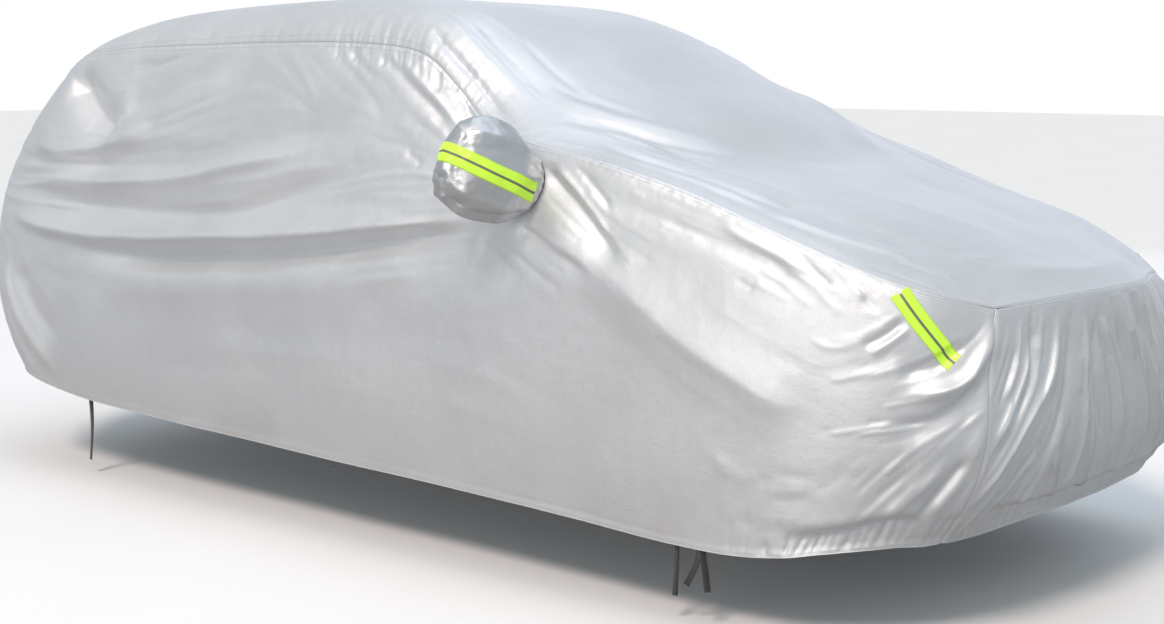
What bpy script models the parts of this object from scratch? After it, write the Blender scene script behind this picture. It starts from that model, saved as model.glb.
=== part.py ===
"""Fitted car cover as it hangs over a small family car, sewn from five cloth panels.

Lengths are metres. The tables give positions in the car's own frame: x forward from the
front wheel centre, half widths out from the middle, heights above the ground. The right
side is -Y. The origin of the finished part is under the middle of the roof.
"""
import math
from collections import namedtuple

import bmesh
import bpy
import numpy as np
from mathutils import Vector

# Driving sizes
CLOTH = 0.002            # thickness of the cloth, with its lining coat
SEAM_GAP = 0.0003        # clear gap between neighbouring pieces
HEM_EXTRA = 0.0014       # how far the turned hem stands out
TAPE = 0.001             # thickness of the reflective tape
TAPE_WIDTH = 0.05        # width of the reflective tape
MOUNT_X = -1.70          # where the roof rests on its support
MOUNT_Z = 1.683          # height of the roof's underside there
WEBBING = 0.0015         # thickness of the straps
WEBBING_WIDTH = 0.020
STRAP_INSET = 0.0050     # from the outside of the hem to the strap behind it
RIM_SETBACK = 0.0002     # how far a seam edge is drawn back along its own cloth
TWISTED_SETBACK = 0.0006     # the same where the two sides of a seam twist
TAPE_LIFT = 0.0005       # clear height of the tape over the cloth it lies on
TAPE_MITRE = 1.25        # most that a corner lengthens the lift of the tape
LEAST_MITRE = 0.6        # cosine of the sharpest corner whose thickness is still mitred
INSIDE = (-1.4, 0.0, 0.9)    # a place well inside the cover

COLLECTION = "Car cover"
SIDES = {-1: "right", 1: "left"}

# Top panel, tail to nose: one row per station across the car.
# crown: high numbers give a flat middle with quickly rounded edges.
TopRow = namedtuple("TopRow", "x_edge half_width z_right z_left x_mid z_mid crown_right crown_left")
TOP_ROWS = {
    "rear_edge":    TopRow(-3.00, 0.640, 1.480, 1.480, -3.13, 1.515, 3.0, 3.0),
    "spoiler":      TopRow(-2.84, 0.685, 1.510, 1.510, -2.90, 1.600, 5.0, 5.0),
    "roof_rear":    TopRow(-2.52, 0.700, 1.530, 1.530, -2.55, 1.650, 7.0, 7.0),
    "roof_back":    TopRow(-2.10, 0.705, 1.540, 1.540, -2.11, 1.678, 8.0, 8.0),
    "roof_middle":  TopRow(-1.70, 0.705, 1.545, 1.540, -1.70, 1.685, 8.0, 7.0),
    "roof_front":   TopRow(-1.35, 0.705, 1.540, 1.520, -1.32, 1.675, 8.0, 6.0),
    "roof_corner":  TopRow(-1.09, 0.725, 1.510, 1.470, -1.05, 1.630, 8.0, 5.0),
    "pillar_high":  TopRow(-0.92, 0.745, 1.410, 1.390, -0.80, 1.535, 8.0, 5.0),
    "pillar_low":   TopRow(-0.79, 0.775, 1.320, 1.315, -0.56, 1.425, 7.0, 5.5),
    "mirror":       TopRow(-0.58, 0.830, 1.262, 1.262, -0.32, 1.315, 5.0, 5.0),
    "cowl":         TopRow(-0.32, 0.855, 1.225, 1.190, -0.10, 1.200, 4.0, 3.2),
    "bonnet_rear":  TopRow(0.00, 0.850, 1.150, 1.080, 0.12, 1.135, 4.0, 3.2),
    "bonnet_mid":   TopRow(0.27, 0.840, 1.060, 1.000, 0.34, 1.080, 3.5, 3.2),
    "bonnet_front": TopRow(0.50, 0.800, 0.975, 0.930, 0.54, 1.020, 3.0, 3.0),
    "headlight":    TopRow(0.66, 0.725, 0.920, 0.890, 0.71, 0.955, 2.6, 2.6),
    "bonnet_lip":   TopRow(0.775, 0.580, 0.880, 0.868, 0.85, 0.885, 2.4, 2.4),
}

# Walls, one row per station: where the hem and the fullest part of the cloth are, and
# how late the wall turns in above it.
Wall = namedtuple("Wall", "hem_x hem_half_width hem_z belt_x belt_half_width belt_z fullness")
SIDE_ROWS = {
    "rear_edge":    Wall(-3.235, 0.71, 0.385, -3.36, 0.735, 0.68, 2.4),
    "spoiler":      Wall(-3.06, 0.870, 0.330, -3.19, 0.885, 0.68, 2.1),
    "roof_rear":    Wall(-2.72, 0.887, 0.280, -2.79, 0.907, 0.69, 1.9),
    "roof_back":    Wall(-2.25, 0.890, 0.262, -2.27, 0.910, 0.70, 1.9),
    "roof_middle":  Wall(-1.78, 0.890, 0.250, -1.79, 0.910, 0.72, 1.9),
    "roof_front":   Wall(-1.38, 0.890, 0.242, -1.38, 0.910, 0.74, 1.9),
    "roof_corner":  Wall(-1.05, 0.890, 0.238, -1.06, 0.910, 0.75, 1.9),
    "pillar_high":  Wall(-0.84, 0.890, 0.234, -0.86, 0.910, 0.76, 1.9),
    "pillar_low":   Wall(-0.66, 0.892, 0.230, -0.68, 0.913, 0.77, 1.9),
    "mirror":       Wall(-0.48, 0.894, 0.226, -0.50, 0.917, 0.77, 1.9),
    "cowl":         Wall(-0.27, 0.896, 0.220, -0.28, 0.920, 0.76, 1.9),
    "bonnet_rear":  Wall(0.00, 0.898, 0.212, 0.00, 0.920, 0.74, 1.9),
    "bonnet_mid":   Wall(0.22, 0.892, 0.215, 0.26, 0.905, 0.70, 1.9),
    "bonnet_front": Wall(0.41, 0.865, 0.240, 0.50, 0.860, 0.65, 1.9),
    "headlight":    Wall(0.56, 0.765, 0.262, 0.67, 0.765, 0.62, 2.0),
    "bonnet_lip":   Wall(0.66, 0.620, 0.270, 0.79, 0.630, 0.60, 2.1),
}
# End walls, from the middle of the car out to the corner they share with the sides.
TAIL_ROWS = {
    "middle": Wall(-3.34, 0.00, 0.410, -3.46, 0.00, 0.68, 2.4),
    "third":  Wall(-3.33, 0.25, 0.408, -3.455, 0.25, 0.68, 2.4),
    "outer":  Wall(-3.305, 0.50, 0.400, -3.43, 0.51, 0.68, 2.4),
    "corner": SIDE_ROWS["rear_edge"],
}
NOSE_ROWS = {
    "middle": Wall(0.745, 0.00, 0.272, 0.865, 0.00, 0.60, 2.1),
    "third":  Wall(0.740, 0.21, 0.272, 0.860, 0.21, 0.60, 2.1),
    "outer":  Wall(0.715, 0.42, 0.270, 0.838, 0.43, 0.60, 2.1),
    "corner": SIDE_ROWS["bonnet_lip"],
}

# Folds, one row each: a path of (along, height) points, how far the ridge stands out (minus
# for a trough) and how wide it is. On the sides "along" is x.
Fold = namedtuple("Fold", "path stands_out width")
RIGHT_FOLDS = {
    "high trough":       Fold(((-2.84, 1.12), (-2.46, 1.12), (-2.02, 1.16), (-1.61, 1.25),
                               (-1.28, 1.30)), -0.022, 0.048),
    "high ridge":        Fold(((-3.07, 1.03), (-2.81, 1.055), (-2.56, 1.06), (-2.11, 1.10),
                               (-1.71, 1.165), (-1.42, 1.22)), 0.022, 0.036),
    "broad trough":      Fold(((-3.06, 0.98), (-2.67, 0.975), (-2.25, 0.975), (-1.98, 0.98),
                               (-1.77, 1.00), (-1.49, 1.08), (-0.99, 1.19)), -0.026, 0.045),
    "long ridge":        Fold(((-3.11, 0.93), (-2.97, 0.90), (-2.78, 0.88), (-2.47, 0.87),
                               (-1.97, 0.90), (-1.56, 0.93), (-1.29, 0.96), (-0.94, 1.01),
                               (-0.71, 1.04)), 0.030, 0.040),
    "sharp trough":      Fold(((-2.77, 0.805), (-2.23, 0.82), (-1.66, 0.865), (-1.37, 0.90),
                               (-0.94, 0.97), (-0.68, 1.00)), -0.024, 0.036),
    "soft ridge":        Fold(((-2.65, 0.75), (-2.29, 0.755), (-1.75, 0.79), (-1.46, 0.83),
                               (-1.10, 0.89), (-0.86, 0.93)), 0.018, 0.050),
    "quarter hollow":    Fold(((-2.82, 1.43), (-2.66, 1.35), (-2.56, 1.28)), -0.036, 0.050),
    "quarter flat":      Fold(((-2.50, 1.37), (-2.25, 1.42), (-2.00, 1.47)), -0.026, 0.060),
    "quarter edge":      Fold(((-2.50, 1.26), (-2.26, 1.34), (-1.95, 1.45)), 0.020, 0.034),
    "quarter ridge":     Fold(((-3.05, 1.21), (-2.88, 1.175), (-2.72, 1.175), (-2.50, 1.215),
                               (-2.29, 1.28)), 0.022, 0.038),
    "front seam trough": Fold(((-1.26, 1.48), (-1.14, 1.42), (-1.00, 1.34)), -0.014, 0.034),
    "pocket crease":     Fold(((-0.46, 1.18), (-0.38, 1.12), (-0.30, 1.06), (-0.20, 0.98),
                               (-0.12, 0.90)), -0.022, 0.034),
    "pocket hollow":     Fold(((-0.68, 0.97), (-0.60, 0.90), (-0.62, 0.78)), -0.018, 0.050),
    "fender sweep":      Fold(((-0.50, 1.02), (-0.36, 0.96), (-0.18, 0.88), (0.05, 0.76),
                               (0.29, 0.65), (0.42, 0.60)), 0.024, 0.058),
    "shoulder crumple":  Fold(((-0.28, 1.13), (0.02, 1.06), (0.24, 0.99), (0.46, 0.90)),
                              -0.016, 0.034),
    "shoulder roll":     Fold(((-0.22, 1.08), (0.08, 1.00), (0.34, 0.92)), 0.012, 0.034),
    "headlight ridge":   Fold(((0.775, 0.86), (0.78, 0.80), (0.77, 0.76), (0.75, 0.715),
                               (0.71, 0.69), (0.62, 0.67)), 0.032, 0.030),
    "headlight hollow":  Fold(((0.74, 0.80), (0.69, 0.745), (0.62, 0.725)), -0.018, 0.030),
    "headlight trough":  Fold(((0.79, 0.78), (0.76, 0.68), (0.70, 0.61), (0.56, 0.60)),
                              -0.024, 0.034),
    "corner crease":     Fold(((0.77, 0.55), (0.74, 0.47), (0.66, 0.36)), 0.018, 0.028),
    "low crease":        Fold(((0.70, 0.52), (0.64, 0.43), (0.56, 0.35)), -0.014, 0.034),
    "tail crease":       Fold(((-3.12, 0.75), (-3.08, 0.60), (-2.99, 0.49), (-2.82, 0.34)),
                              0.020, 0.046),
    "tail trough":       Fold(((-3.03, 0.74), (-2.96, 0.60), (-2.80, 0.46)), -0.014, 0.050),
}
LEFT_FOLDS = {
    "high trough":       Fold(((-2.90, 1.13), (-2.20, 1.15), (-1.60, 1.21), (-1.10, 1.25)),
                              -0.022, 0.050),
    "high ridge":        Fold(((-3.05, 1.02), (-2.50, 1.07), (-1.90, 1.10), (-1.40, 1.17)),
                              0.020, 0.040),
    "broad trough":      Fold(((-3.00, 0.97), (-2.40, 0.98), (-1.80, 1.00), (-1.20, 1.09)),
                              -0.022, 0.048),
    "long ridge":        Fold(((-3.08, 0.91), (-2.60, 0.88), (-1.90, 0.91), (-1.30, 0.97),
                               (-0.75, 1.05)), 0.028, 0.044),
    "sharp trough":      Fold(((-2.80, 0.80), (-2.10, 0.82), (-1.40, 0.88), (-0.80, 0.96)),
                              -0.022, 0.040),
    "soft ridge":        Fold(((-2.50, 0.74), (-1.80, 0.76), (-1.10, 0.84)), 0.016, 0.055),
    "quarter hollow":    Fold(((-2.80, 1.41), (-2.62, 1.34), (-2.52, 1.27)), -0.032, 0.055),
    "quarter flat":      Fold(((-2.48, 1.36), (-2.24, 1.40), (-2.02, 1.44)), -0.022, 0.060),
    "quarter ridge":     Fold(((-3.03, 1.22), (-2.80, 1.18), (-2.52, 1.20), (-2.26, 1.28)),
                              0.020, 0.044),
    "front seam trough": Fold(((-1.30, 1.42), (-1.16, 1.37), (-1.00, 1.31)), -0.012, 0.040),
    "pocket crease":     Fold(((-0.40, 1.10), (-0.28, 1.02), (-0.12, 0.90)), -0.020, 0.040),
    "fender sweep":      Fold(((-0.48, 1.00), (-0.14, 0.86), (0.18, 0.71), (0.40, 0.62)),
                              0.022, 0.060),
    "shoulder crumple":  Fold(((-0.24, 1.06), (0.08, 1.00), (0.42, 0.88)), -0.014, 0.038),
    "headlight ridge":   Fold(((0.71, 0.84), (0.735, 0.77), (0.715, 0.72), (0.60, 0.68)),
                              0.026, 0.034),
    "headlight trough":  Fold(((0.765, 0.76), (0.74, 0.67), (0.56, 0.61)), -0.020, 0.040),
    "corner crease":     Fold(((0.77, 0.56), (0.73, 0.46), (0.64, 0.36)), 0.016, 0.032),
    "tail crease":       Fold(((-3.14, 0.78), (-3.06, 0.60), (-2.84, 0.38)), 0.018, 0.050),
}
# On the nose and tail "along" is across the car, minus to the right.
NOSE_FOLDS = {
    "pleat 1":  Fold(((-0.36, 0.86), (-0.39, 0.73), (-0.45, 0.64), (-0.53, 0.54),
                      (-0.59, 0.42)), 0.021, 0.028),
    "trough 1": Fold(((-0.45, 0.84), (-0.48, 0.70), (-0.56, 0.58)), -0.017, 0.030),
    "trough 2": Fold(((-0.30, 0.84), (-0.32, 0.66), (-0.39, 0.50), (-0.47, 0.34)), -0.018, 0.030),
    "pleat 2":  Fold(((-0.23, 0.85), (-0.24, 0.66), (-0.22, 0.46)), 0.017, 0.028),
    "pleat 3":  Fold(((-0.33, 0.50), (-0.28, 0.40), (-0.24, 0.30)), 0.013, 0.026),
    "trough 3": Fold(((-0.18, 0.82), (-0.15, 0.60), (-0.12, 0.40)), -0.016, 0.028),
    "pleat 4":  Fold(((-0.14, 0.83), (-0.06, 0.60), (0.00, 0.42)), 0.017, 0.028),
    "trough 4": Fold(((-0.06, 0.82), (0.02, 0.60), (0.06, 0.40)), -0.015, 0.028),
    "pleat 5":  Fold(((0.00, 0.83), (0.09, 0.64), (0.16, 0.42)), 0.016, 0.028),
    "trough 5": Fold(((0.07, 0.82), (0.16, 0.62), (0.23, 0.40)), -0.014, 0.030),
    "pleat 6":  Fold(((0.13, 0.84), (0.23, 0.64), (0.31, 0.40)), 0.016, 0.030),
    "trough 6": Fold(((0.21, 0.82), (0.31, 0.62), (0.39, 0.42)), -0.014, 0.030),
    "pleat 7":  Fold(((0.28, 0.84), (0.38, 0.62), (0.47, 0.38)), 0.017, 0.030),
    "trough 7": Fold(((0.36, 0.82), (0.46, 0.62), (0.54, 0.42)), -0.014, 0.030),
    "pleat 8":  Fold(((0.44, 0.84), (0.52, 0.66), (0.59, 0.44)), 0.016, 0.030),
}
TAIL_FOLDS = {
    "left drape":   Fold(((0.45, 1.30), (0.34, 0.95), (0.50, 0.60)), 0.020, 0.070),
    "left hollow":  Fold(((0.24, 1.32), (0.18, 1.00), (0.26, 0.66)), -0.016, 0.070),
    "middle drape": Fold(((0.02, 1.35), (-0.05, 1.00), (0.00, 0.60)), 0.016, 0.080),
    "right hollow": Fold(((-0.22, 1.30), (-0.20, 1.00), (-0.30, 0.66)), -0.018, 0.070),
    "right drape":  Fold(((-0.44, 1.30), (-0.36, 0.95), (-0.52, 0.58)), 0.020, 0.070),
    "low crease":   Fold(((-0.50, 0.54), (0.00, 0.60), (0.50, 0.55)), -0.014, 0.060),
}
# On the top panel a fold runs through (x, y) positions.
TOP_FOLDS = {
    "right gathers":   Fold(((-1.12, -0.61), (-0.97, -0.64), (-0.80, -0.655), (-0.62, -0.68)),
                            0.016, 0.040),
    "left gathers":    Fold(((-1.08, 0.61), (-0.86, 0.65), (-0.62, 0.68)), 0.013, 0.042),
    "right pull":      Fold(((-0.69, -0.62), (-0.45, -0.55), (-0.26, -0.42), (-0.02, -0.27)),
                            0.013, 0.050),
    "left pull":       Fold(((-0.66, 0.60), (-0.40, 0.52), (-0.14, 0.36)), 0.010, 0.060),
    "right streak":    Fold(((-0.39, -0.62), (-0.10, -0.58), (0.17, -0.56)), -0.012, 0.040),
    "cowl dip":        Fold(((-0.25, -0.45), (-0.06, 0.00), (-0.25, 0.45)), -0.012, 0.090),
    "right bonnet":    Fold(((0.12, -0.66), (0.34, -0.62), (0.58, -0.52)), -0.010, 0.070),
    "left bonnet":     Fold(((0.05, 0.66), (0.30, 0.62), (0.58, 0.52)), -0.008, 0.080),
    "lip roll":        Fold(((0.70, -0.42), (0.77, 0.00), (0.70, 0.42)), 0.010, 0.050),
}

# The left front corner of the top is drawn in, so that the nose is rounder there.
CORNER_PULL = (0.065, 0.055)         # how far back and inwards
PULL_FROM = (0.30, 0.05)             # x and distance across where the pull begins
PULL_OVER = (0.45, 0.50)             # over how far it grows to the whole

# Where the panels are divided: along the car, up the walls and across the top.
ALONG = (0, 0.5, 1, 1.4, 1.8, 2.2, 2.6, 3, 3.33, 3.67, 4, 4.33, 4.67, 5, 5.33, 5.67, 6, 6.5, 7, 7.5,
         8, 8.45, 8.85, 9.1, 9.35, 9.6, 10, 10.33, 10.67, 11, 11.4, 11.8, 12.2, 12.6, 12.97,
         13.33, 13.75, 14.38, 15)
UP = (0, 0.025, 0.033, 0.11, 0.19, 0.27, 0.34, 0.39, 0.43, 0.465, 0.50, 0.535, 0.57, 0.605,
      0.64, 0.67, 0.70, 0.73, 0.765, 0.80, 0.86, 0.912, 0.964, 1)
ACROSS = (-1, -0.955, -0.89, -0.80, -0.66, -0.48, -0.26, 0, 0.26, 0.48, 0.66, 0.80, 0.89, 0.955, 1)
HEM_LINES = 2            # division lines from the bottom that belong to the turned hem
NOSE_FINER = 3           # cells of the nose along each cell of its top seam
EVEN_SHARE = 0.55        # share of the nose's height above which its cells gather to the seam

# How folds run out: over the last part of their own length, and towards a seam.
FOLD_STEPS = 6           # straight pieces between two points of a fold's path
FOLD_FADE = 0.2          # share of a fold's length over which it rises at each end
FOLD_END = 0.25          # share of its height that is left at its very end
SOLVE_STEPS = 40         # halvings when a place on a wall is looked for
SEAM_EASE = 0.12         # share of a panel's height or half width beside a seam
SIDE_EASE = 0.8          # stations from the tail and nose seams, on the side walls
TOP_EASE = 0.4           # stations from the tail and nose seams, on the top

# Front corner strip: the two division lines it lies between lean forward below the seam.
STRIP_LINES = (35, 36)
STRIP_FOOT = 0.765       # share of the wall height at its lower end
STRIP_TOP = 0.964
STRIP_LEAN = 0.92        # stations that the strip moves forward from its top to its foot
STRIP_HALF = 0.21        # half its width, in stations

# Mirror pocket: the block of panel cells it replaces and the oval mouth.
POCKET_COLUMNS = (22, 25)
POCKET_LINES = (UP.index(0.80), UP.index(0.964))
POCKET_MOUTH = (0.075, 0.083)        # half length and half height of the mouth
RING_POINTS = 12         # points round the mouth, as many as that block's edge has
TIP_REACH = 0.3          # how far the closed tip goes on, as a share of the last ring's step
NARROWEST_TAPE = 0.62    # ring half height, in tape widths, below which the tape's angle stays
MOUTH_TAPE_ANGLE = -22
WALL_LEAN = 0.24         # how far the wall round the mouth leans in as it rises
# Where each pocket sits and which way its tip points; the left one is slack and droops.
Pocket = namedtuple("Pocket", "x z forward outward up size")
POCKETS = {
    "right": Pocket(-0.545, 1.147, -0.90, 0.88, 0.45, 1.0),
    "left":  Pocket(-0.520, 1.120, -0.45, 0.85, -1.00, 0.82),
}
# Rings of a pocket from its neck to its tip; the tape angle turns the tape round it.
Ring = namedtuple("Ring", "out half_height half_depth tape_angle")
POCKET_RINGS = {
    "neck":    Ring(0.034, 0.102, 0.080, -17),
    "inner":   Ring(0.080, 0.130, 0.086, -8),
    "middle":  Ring(0.145, 0.142, 0.088, -1),
    "outer":   Ring(0.205, 0.130, 0.076, 5),
    "brow":    Ring(0.246, 0.094, 0.055, 10),
    "tip":     Ring(0.263, 0.044, 0.028, 16),
}

# Straps hanging from the side hem: top and foot as (x, height).
Strap = namedtuple("Strap", "hem_half_width path")
STRAPS = {
    "strap_rear":       Strap(0.885, ((-2.650, 0.300), (-2.652, 0.180), (-2.660, 0.050))),
    "strap_front":      Strap(0.898, ((0.020, 0.245), (0.020, 0.150), (0.018, 0.070))),
    "strap_front_loop": Strap(0.898, ((0.052, 0.105), (0.085, 0.165), (0.102, 0.218),
                                      (0.118, 0.165), (0.128, 0.100))),
}
# The U of thick wire under the middle of the side hem.
LOOP_X = -1.335
LOOP_HEM_HALF_WIDTH = 0.890
LOOP_HALF_WIDTH = 0.014
LOOP_TOP = 0.262
LOOP_FOOT = 0.208
LOOP_RADIUS = 0.0016
LOOP_STEPS = 6           # straight pieces round its half circle

MATERIALS = {
    "Silver cloth": ((0.62, 0.63, 0.65, 1.0), 0.38, 0.35),
    "Pocket cloth": ((0.58, 0.59, 0.61, 1.0), 0.34, 0.35),
    "Reflective tape": ((0.58, 0.95, 0.10, 1.0), 0.35, 0.0),
    "Black webbing": ((0.02, 0.02, 0.022, 1.0), 0.75, 0.0),
    "Grey plastic": ((0.12, 0.12, 0.125, 1.0), 0.45, 0.0),
}


def reset_scene():
    for item in list(bpy.data.objects):
        bpy.data.objects.remove(item, do_unlink=True)
    collection = bpy.data.collections.new(COLLECTION)
    bpy.context.scene.collection.children.link(collection)
    return collection


def make_materials():
    made = {}
    for name, (colour, roughness, metallic) in MATERIALS.items():
        material = bpy.data.materials.new(name)
        material.use_nodes = True
        shader = material.node_tree.nodes["Principled BSDF"]
        shader.inputs["Base Color"].default_value = colour
        shader.inputs["Roughness"].default_value = roughness
        shader.inputs["Metallic"].default_value = metallic
        material.diffuse_color = colour
        made[name] = material
    return made


def along_rows(rows, at):
    """Smooth row between table rows; at is a row number with its fraction."""
    table = list(rows.values())
    last = len(table) - 1
    at = min(max(at, 0.0), float(last))
    low = int(at)
    part = at - low
    if part == 0:
        return table[low]
    p1, p2 = np.array(table[low]), np.array(table[low + 1])
    p0 = np.array(table[low - 1]) if low > 0 else 2 * p1 - p2
    p3 = np.array(table[low + 2]) if low + 2 <= last else 2 * p2 - p1
    values = curve_point(p0, p1, p2, p3, part)
    return table[low]._make(values.tolist())


def smooth(value):
    value = min(max(value, 0.0), 1.0)
    return value * value * (3 - 2 * value)


def drawn_in(x, y):
    """How much of the corner's pull a place of the top gets; the left front corner gets all."""
    return smooth((x - PULL_FROM[0]) / PULL_OVER[0]) * smooth((y - PULL_FROM[1]) / PULL_OVER[1])


def top_point(station, across):
    row = along_rows(TOP_ROWS, station)
    crown = row.crown_right if across < 0 else row.crown_left
    x = row.x_edge + (row.x_mid - row.x_edge) * (1 - across ** 2)
    edge = row.z_right * (1 - across) / 2 + row.z_left * (1 + across) / 2
    rise = row.z_mid - (row.z_right + row.z_left) / 2
    y = across * row.half_width
    pull = drawn_in(x, y)
    return np.array([x - pull * CORNER_PULL[0], y - pull * CORNER_PULL[1],
                     edge + rise * (1 - abs(across) ** crown)])


def wall_point(row, top, share, side):
    """Point of a wall at a share of its height; side is +1 left, -1 right."""
    if share == 1:
        return top.copy()
    hem = np.array([row.hem_x, side * row.hem_half_width, row.hem_z])
    belt = np.array([row.belt_x, side * row.belt_half_width, row.belt_z])
    z = hem[2] + (top[2] - hem[2]) * share
    if z < belt[2]:
        pull = ((belt[2] - z) / (belt[2] - hem[2])) ** 2
        point = belt + (hem - belt) * pull
    else:
        pull = ((z - belt[2]) / (top[2] - belt[2])) ** row.fullness
        point = belt + (top - belt) * pull
    point[2] = z
    return point


def side_point(station, share, side):
    return wall_point(along_rows(SIDE_ROWS, station), top_point(station, side), share, side)


def end_point(rows, station, across, share):
    row = along_rows(rows, abs(across) * (len(rows) - 1))
    side = 1.0 if across >= 0 else -1.0
    return wall_point(row, top_point(station, across), share, side)


def tail_point(across, share):
    return end_point(TAIL_ROWS, 0, across, share)


def nose_point(across, share):
    return end_point(NOSE_ROWS, len(TOP_ROWS) - 1, across, share)


def solve(function, target, low, high):
    """Value between low and high at which a rising function reaches the target."""
    for _ in range(SOLVE_STEPS):
        middle = (low + high) / 2
        if function(middle) < target:
            low = middle
        else:
            high = middle
    return (low + high) / 2


def side_at(x, z, side):
    """Point of the side wall with a given x and height."""
    last = len(SIDE_ROWS) - 1

    def share_of(station):
        hem = along_rows(SIDE_ROWS, station).hem_z
        return (z - hem) / (top_point(station, side)[2] - hem)

    station = solve(lambda at: side_point(at, share_of(at), side)[0], x, 0.0, last)
    return side_point(station, share_of(station), side)


def end_at(point_of, y, z):
    def share_of(across):
        low, high = point_of(across, 0.0)[2], point_of(across, 1.0)[2]
        return (z - low) / (high - low)

    across = solve(lambda at: point_of(at, share_of(at))[1], y, -1.0, 1.0)
    return point_of(across, share_of(across))


def top_at(x, y):
    last = len(TOP_ROWS) - 1

    def across_of(station):
        return max(-1.0, min(1.0, y / along_rows(TOP_ROWS, station).half_width))

    station = solve(lambda at: top_point(at, across_of(at))[0], x, 0.0, last)
    return top_point(station, across_of(station))


def curve_point(before, one, two, after, part):
    """Point of a smooth curve between one and two, with the points before and after them."""
    return 0.5 * (2 * one + (two - before) * part
                  + (2 * before - 5 * one + 4 * two - after) * part ** 2
                  + (3 * one - before - 3 * two + after) * part ** 3)


def fold_lines(table, locate):
    """Each fold as points on the smooth wall, with its height and width."""
    lines = []
    for fold in table.values():
        path = np.array(fold.path)
        path = np.vstack([2 * path[0] - path[1], path, 2 * path[-1] - path[-2]])
        spots = [curve_point(*path[k:k + 4], step / FOLD_STEPS)
                 for k in range(len(fold.path) - 1) for step in range(FOLD_STEPS)]
        points = [locate(float(spot[0]), float(spot[1])) for spot in spots + [path[-2]]]
        lines.append((np.array(points), fold.stands_out, fold.width))
    return lines


def fold_offset(point, lines):
    """Sum of all folds at a point; each fades towards its two ends."""
    total = 0.0
    for points, stands_out, width in lines:
        start, step = points[:-1], np.diff(points, axis=0)
        part = np.einsum("ij,ij->i", point - start, step) / np.einsum("ij,ij->i", step, step)
        part = np.clip(part, 0, 1)
        gap = np.linalg.norm(start + step * part[:, None] - point, axis=1)
        best = int(np.argmin(gap))
        run = (best + part[best]) / len(step)
        fade = smooth(run / FOLD_FADE) * smooth((1 - run) / FOLD_FADE)
        fade = FOLD_END + (1 - FOLD_END) * fade
        total += stands_out * fade * math.exp(-(gap[best] / width) ** 2)
    return total


def station_lines(share):
    """Stations of the division lines at a share of the wall height."""
    lines = list(ALONG)
    foot = min(max((1 - share) / (1 - STRIP_FOOT), 0.0), 1.0)
    centre = sum(ALONG[k] for k in STRIP_LINES) / 2 + STRIP_LEAN * foot
    lines[STRIP_LINES[0]] = centre - STRIP_HALF
    lines[STRIP_LINES[1]] = centre + STRIP_HALF
    lines[STRIP_LINES[1] + 1] = (centre + STRIP_HALF + ALONG[-1]) / 2
    lines[STRIP_LINES[0] - 1] = (lines[STRIP_LINES[0] - 2] + centre - STRIP_HALF) / 2
    return lines


def normal_of(grid, i, j):
    """Normal of a point grid, from its neighbours."""
    rows, columns = grid.shape[:2]
    du = grid[min(i + 1, rows - 1), j] - grid[max(i - 1, 0), j]
    dv = grid[i, min(j + 1, columns - 1)] - grid[i, max(j - 1, 0)]
    normal = np.cross(du, dv)
    return normal / np.linalg.norm(normal)


def push_folds(grid, lines, weight, outward):
    """Move the grid points out by the folds, weighted so that seams stay put.

    outward is +1 where the grid's own normal faces out of the cover, -1 where it faces in.
    """
    moved = grid.copy()
    for i in range(grid.shape[0]):
        for j in range(grid.shape[1]):
            amount = weight(i, j)
            if amount > 0:
                normal = normal_of(grid, i, j) * outward
                moved[i, j] += normal * amount * fold_offset(grid[i, j], lines)
    return moved


def mouth_angles(tape_angle, half_height):
    """Angles of the points round a pocket ring; the tape lies between the first two."""
    half = math.degrees(math.asin(TAPE_WIDTH / 2 / max(half_height, TAPE_WIDTH * NARROWEST_TAPE)))
    first, second = tape_angle - half, tape_angle + half
    rest = (360 - 2 * half) / (RING_POINTS - 1)
    return [first] + [second + rest * k for k in range(RING_POINTS - 1)]


def mouth_ring_cells():
    """Grid positions round the pocket's block of cells, from its lower front corner."""
    (c0, c1), (r0, r1) = POCKET_COLUMNS, POCKET_LINES
    ring = [(c1, r0 + k) for k in range(r1 - r0)]
    ring += [(c1 - k, r1) for k in range(c1 - c0)]
    ring += [(c0, r1 - k) for k in range(r1 - r0)]
    ring += [(c0 + k, r0) for k in range(c1 - c0)]
    return ring


def side_grid(side, folds):
    grid = np.array([[side_point(station, share, side) for share in UP]
                     for station in range(len(ALONG))])
    for j, share in enumerate(UP):
        for i, station in enumerate(station_lines(share)):
            grid[i, j] = side_point(station, share, side)
    pocket = POCKETS[SIDES[side]]
    for (i, j), angle in zip(mouth_ring_cells(), mouth_angles(MOUTH_TAPE_ANGLE, POCKET_MOUTH[1])):
        x = pocket.x + POCKET_MOUTH[0] * math.cos(math.radians(angle))
        z = pocket.z + POCKET_MOUTH[1] * math.sin(math.radians(angle))
        grid[i, j] = side_at(x, z, side)
    locate = fold_lines(folds, lambda x, z: side_at(x, z, side))

    def weight(i, j):
        station = ALONG[i]
        ends = smooth(station / SIDE_EASE) * smooth((ALONG[-1] - station) / SIDE_EASE)
        return ends * smooth((1 - UP[j]) / SEAM_EASE)

    return push_folds(grid, locate, weight, -side)


def between_seam_points(count, finer):
    """Points of a finer edge that lie on the straight seam between two shared points."""
    for i in range(count):
        if i % finer:
            yield i, i - i % finer, i - i % finer + finer, i % finer / finer


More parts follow.
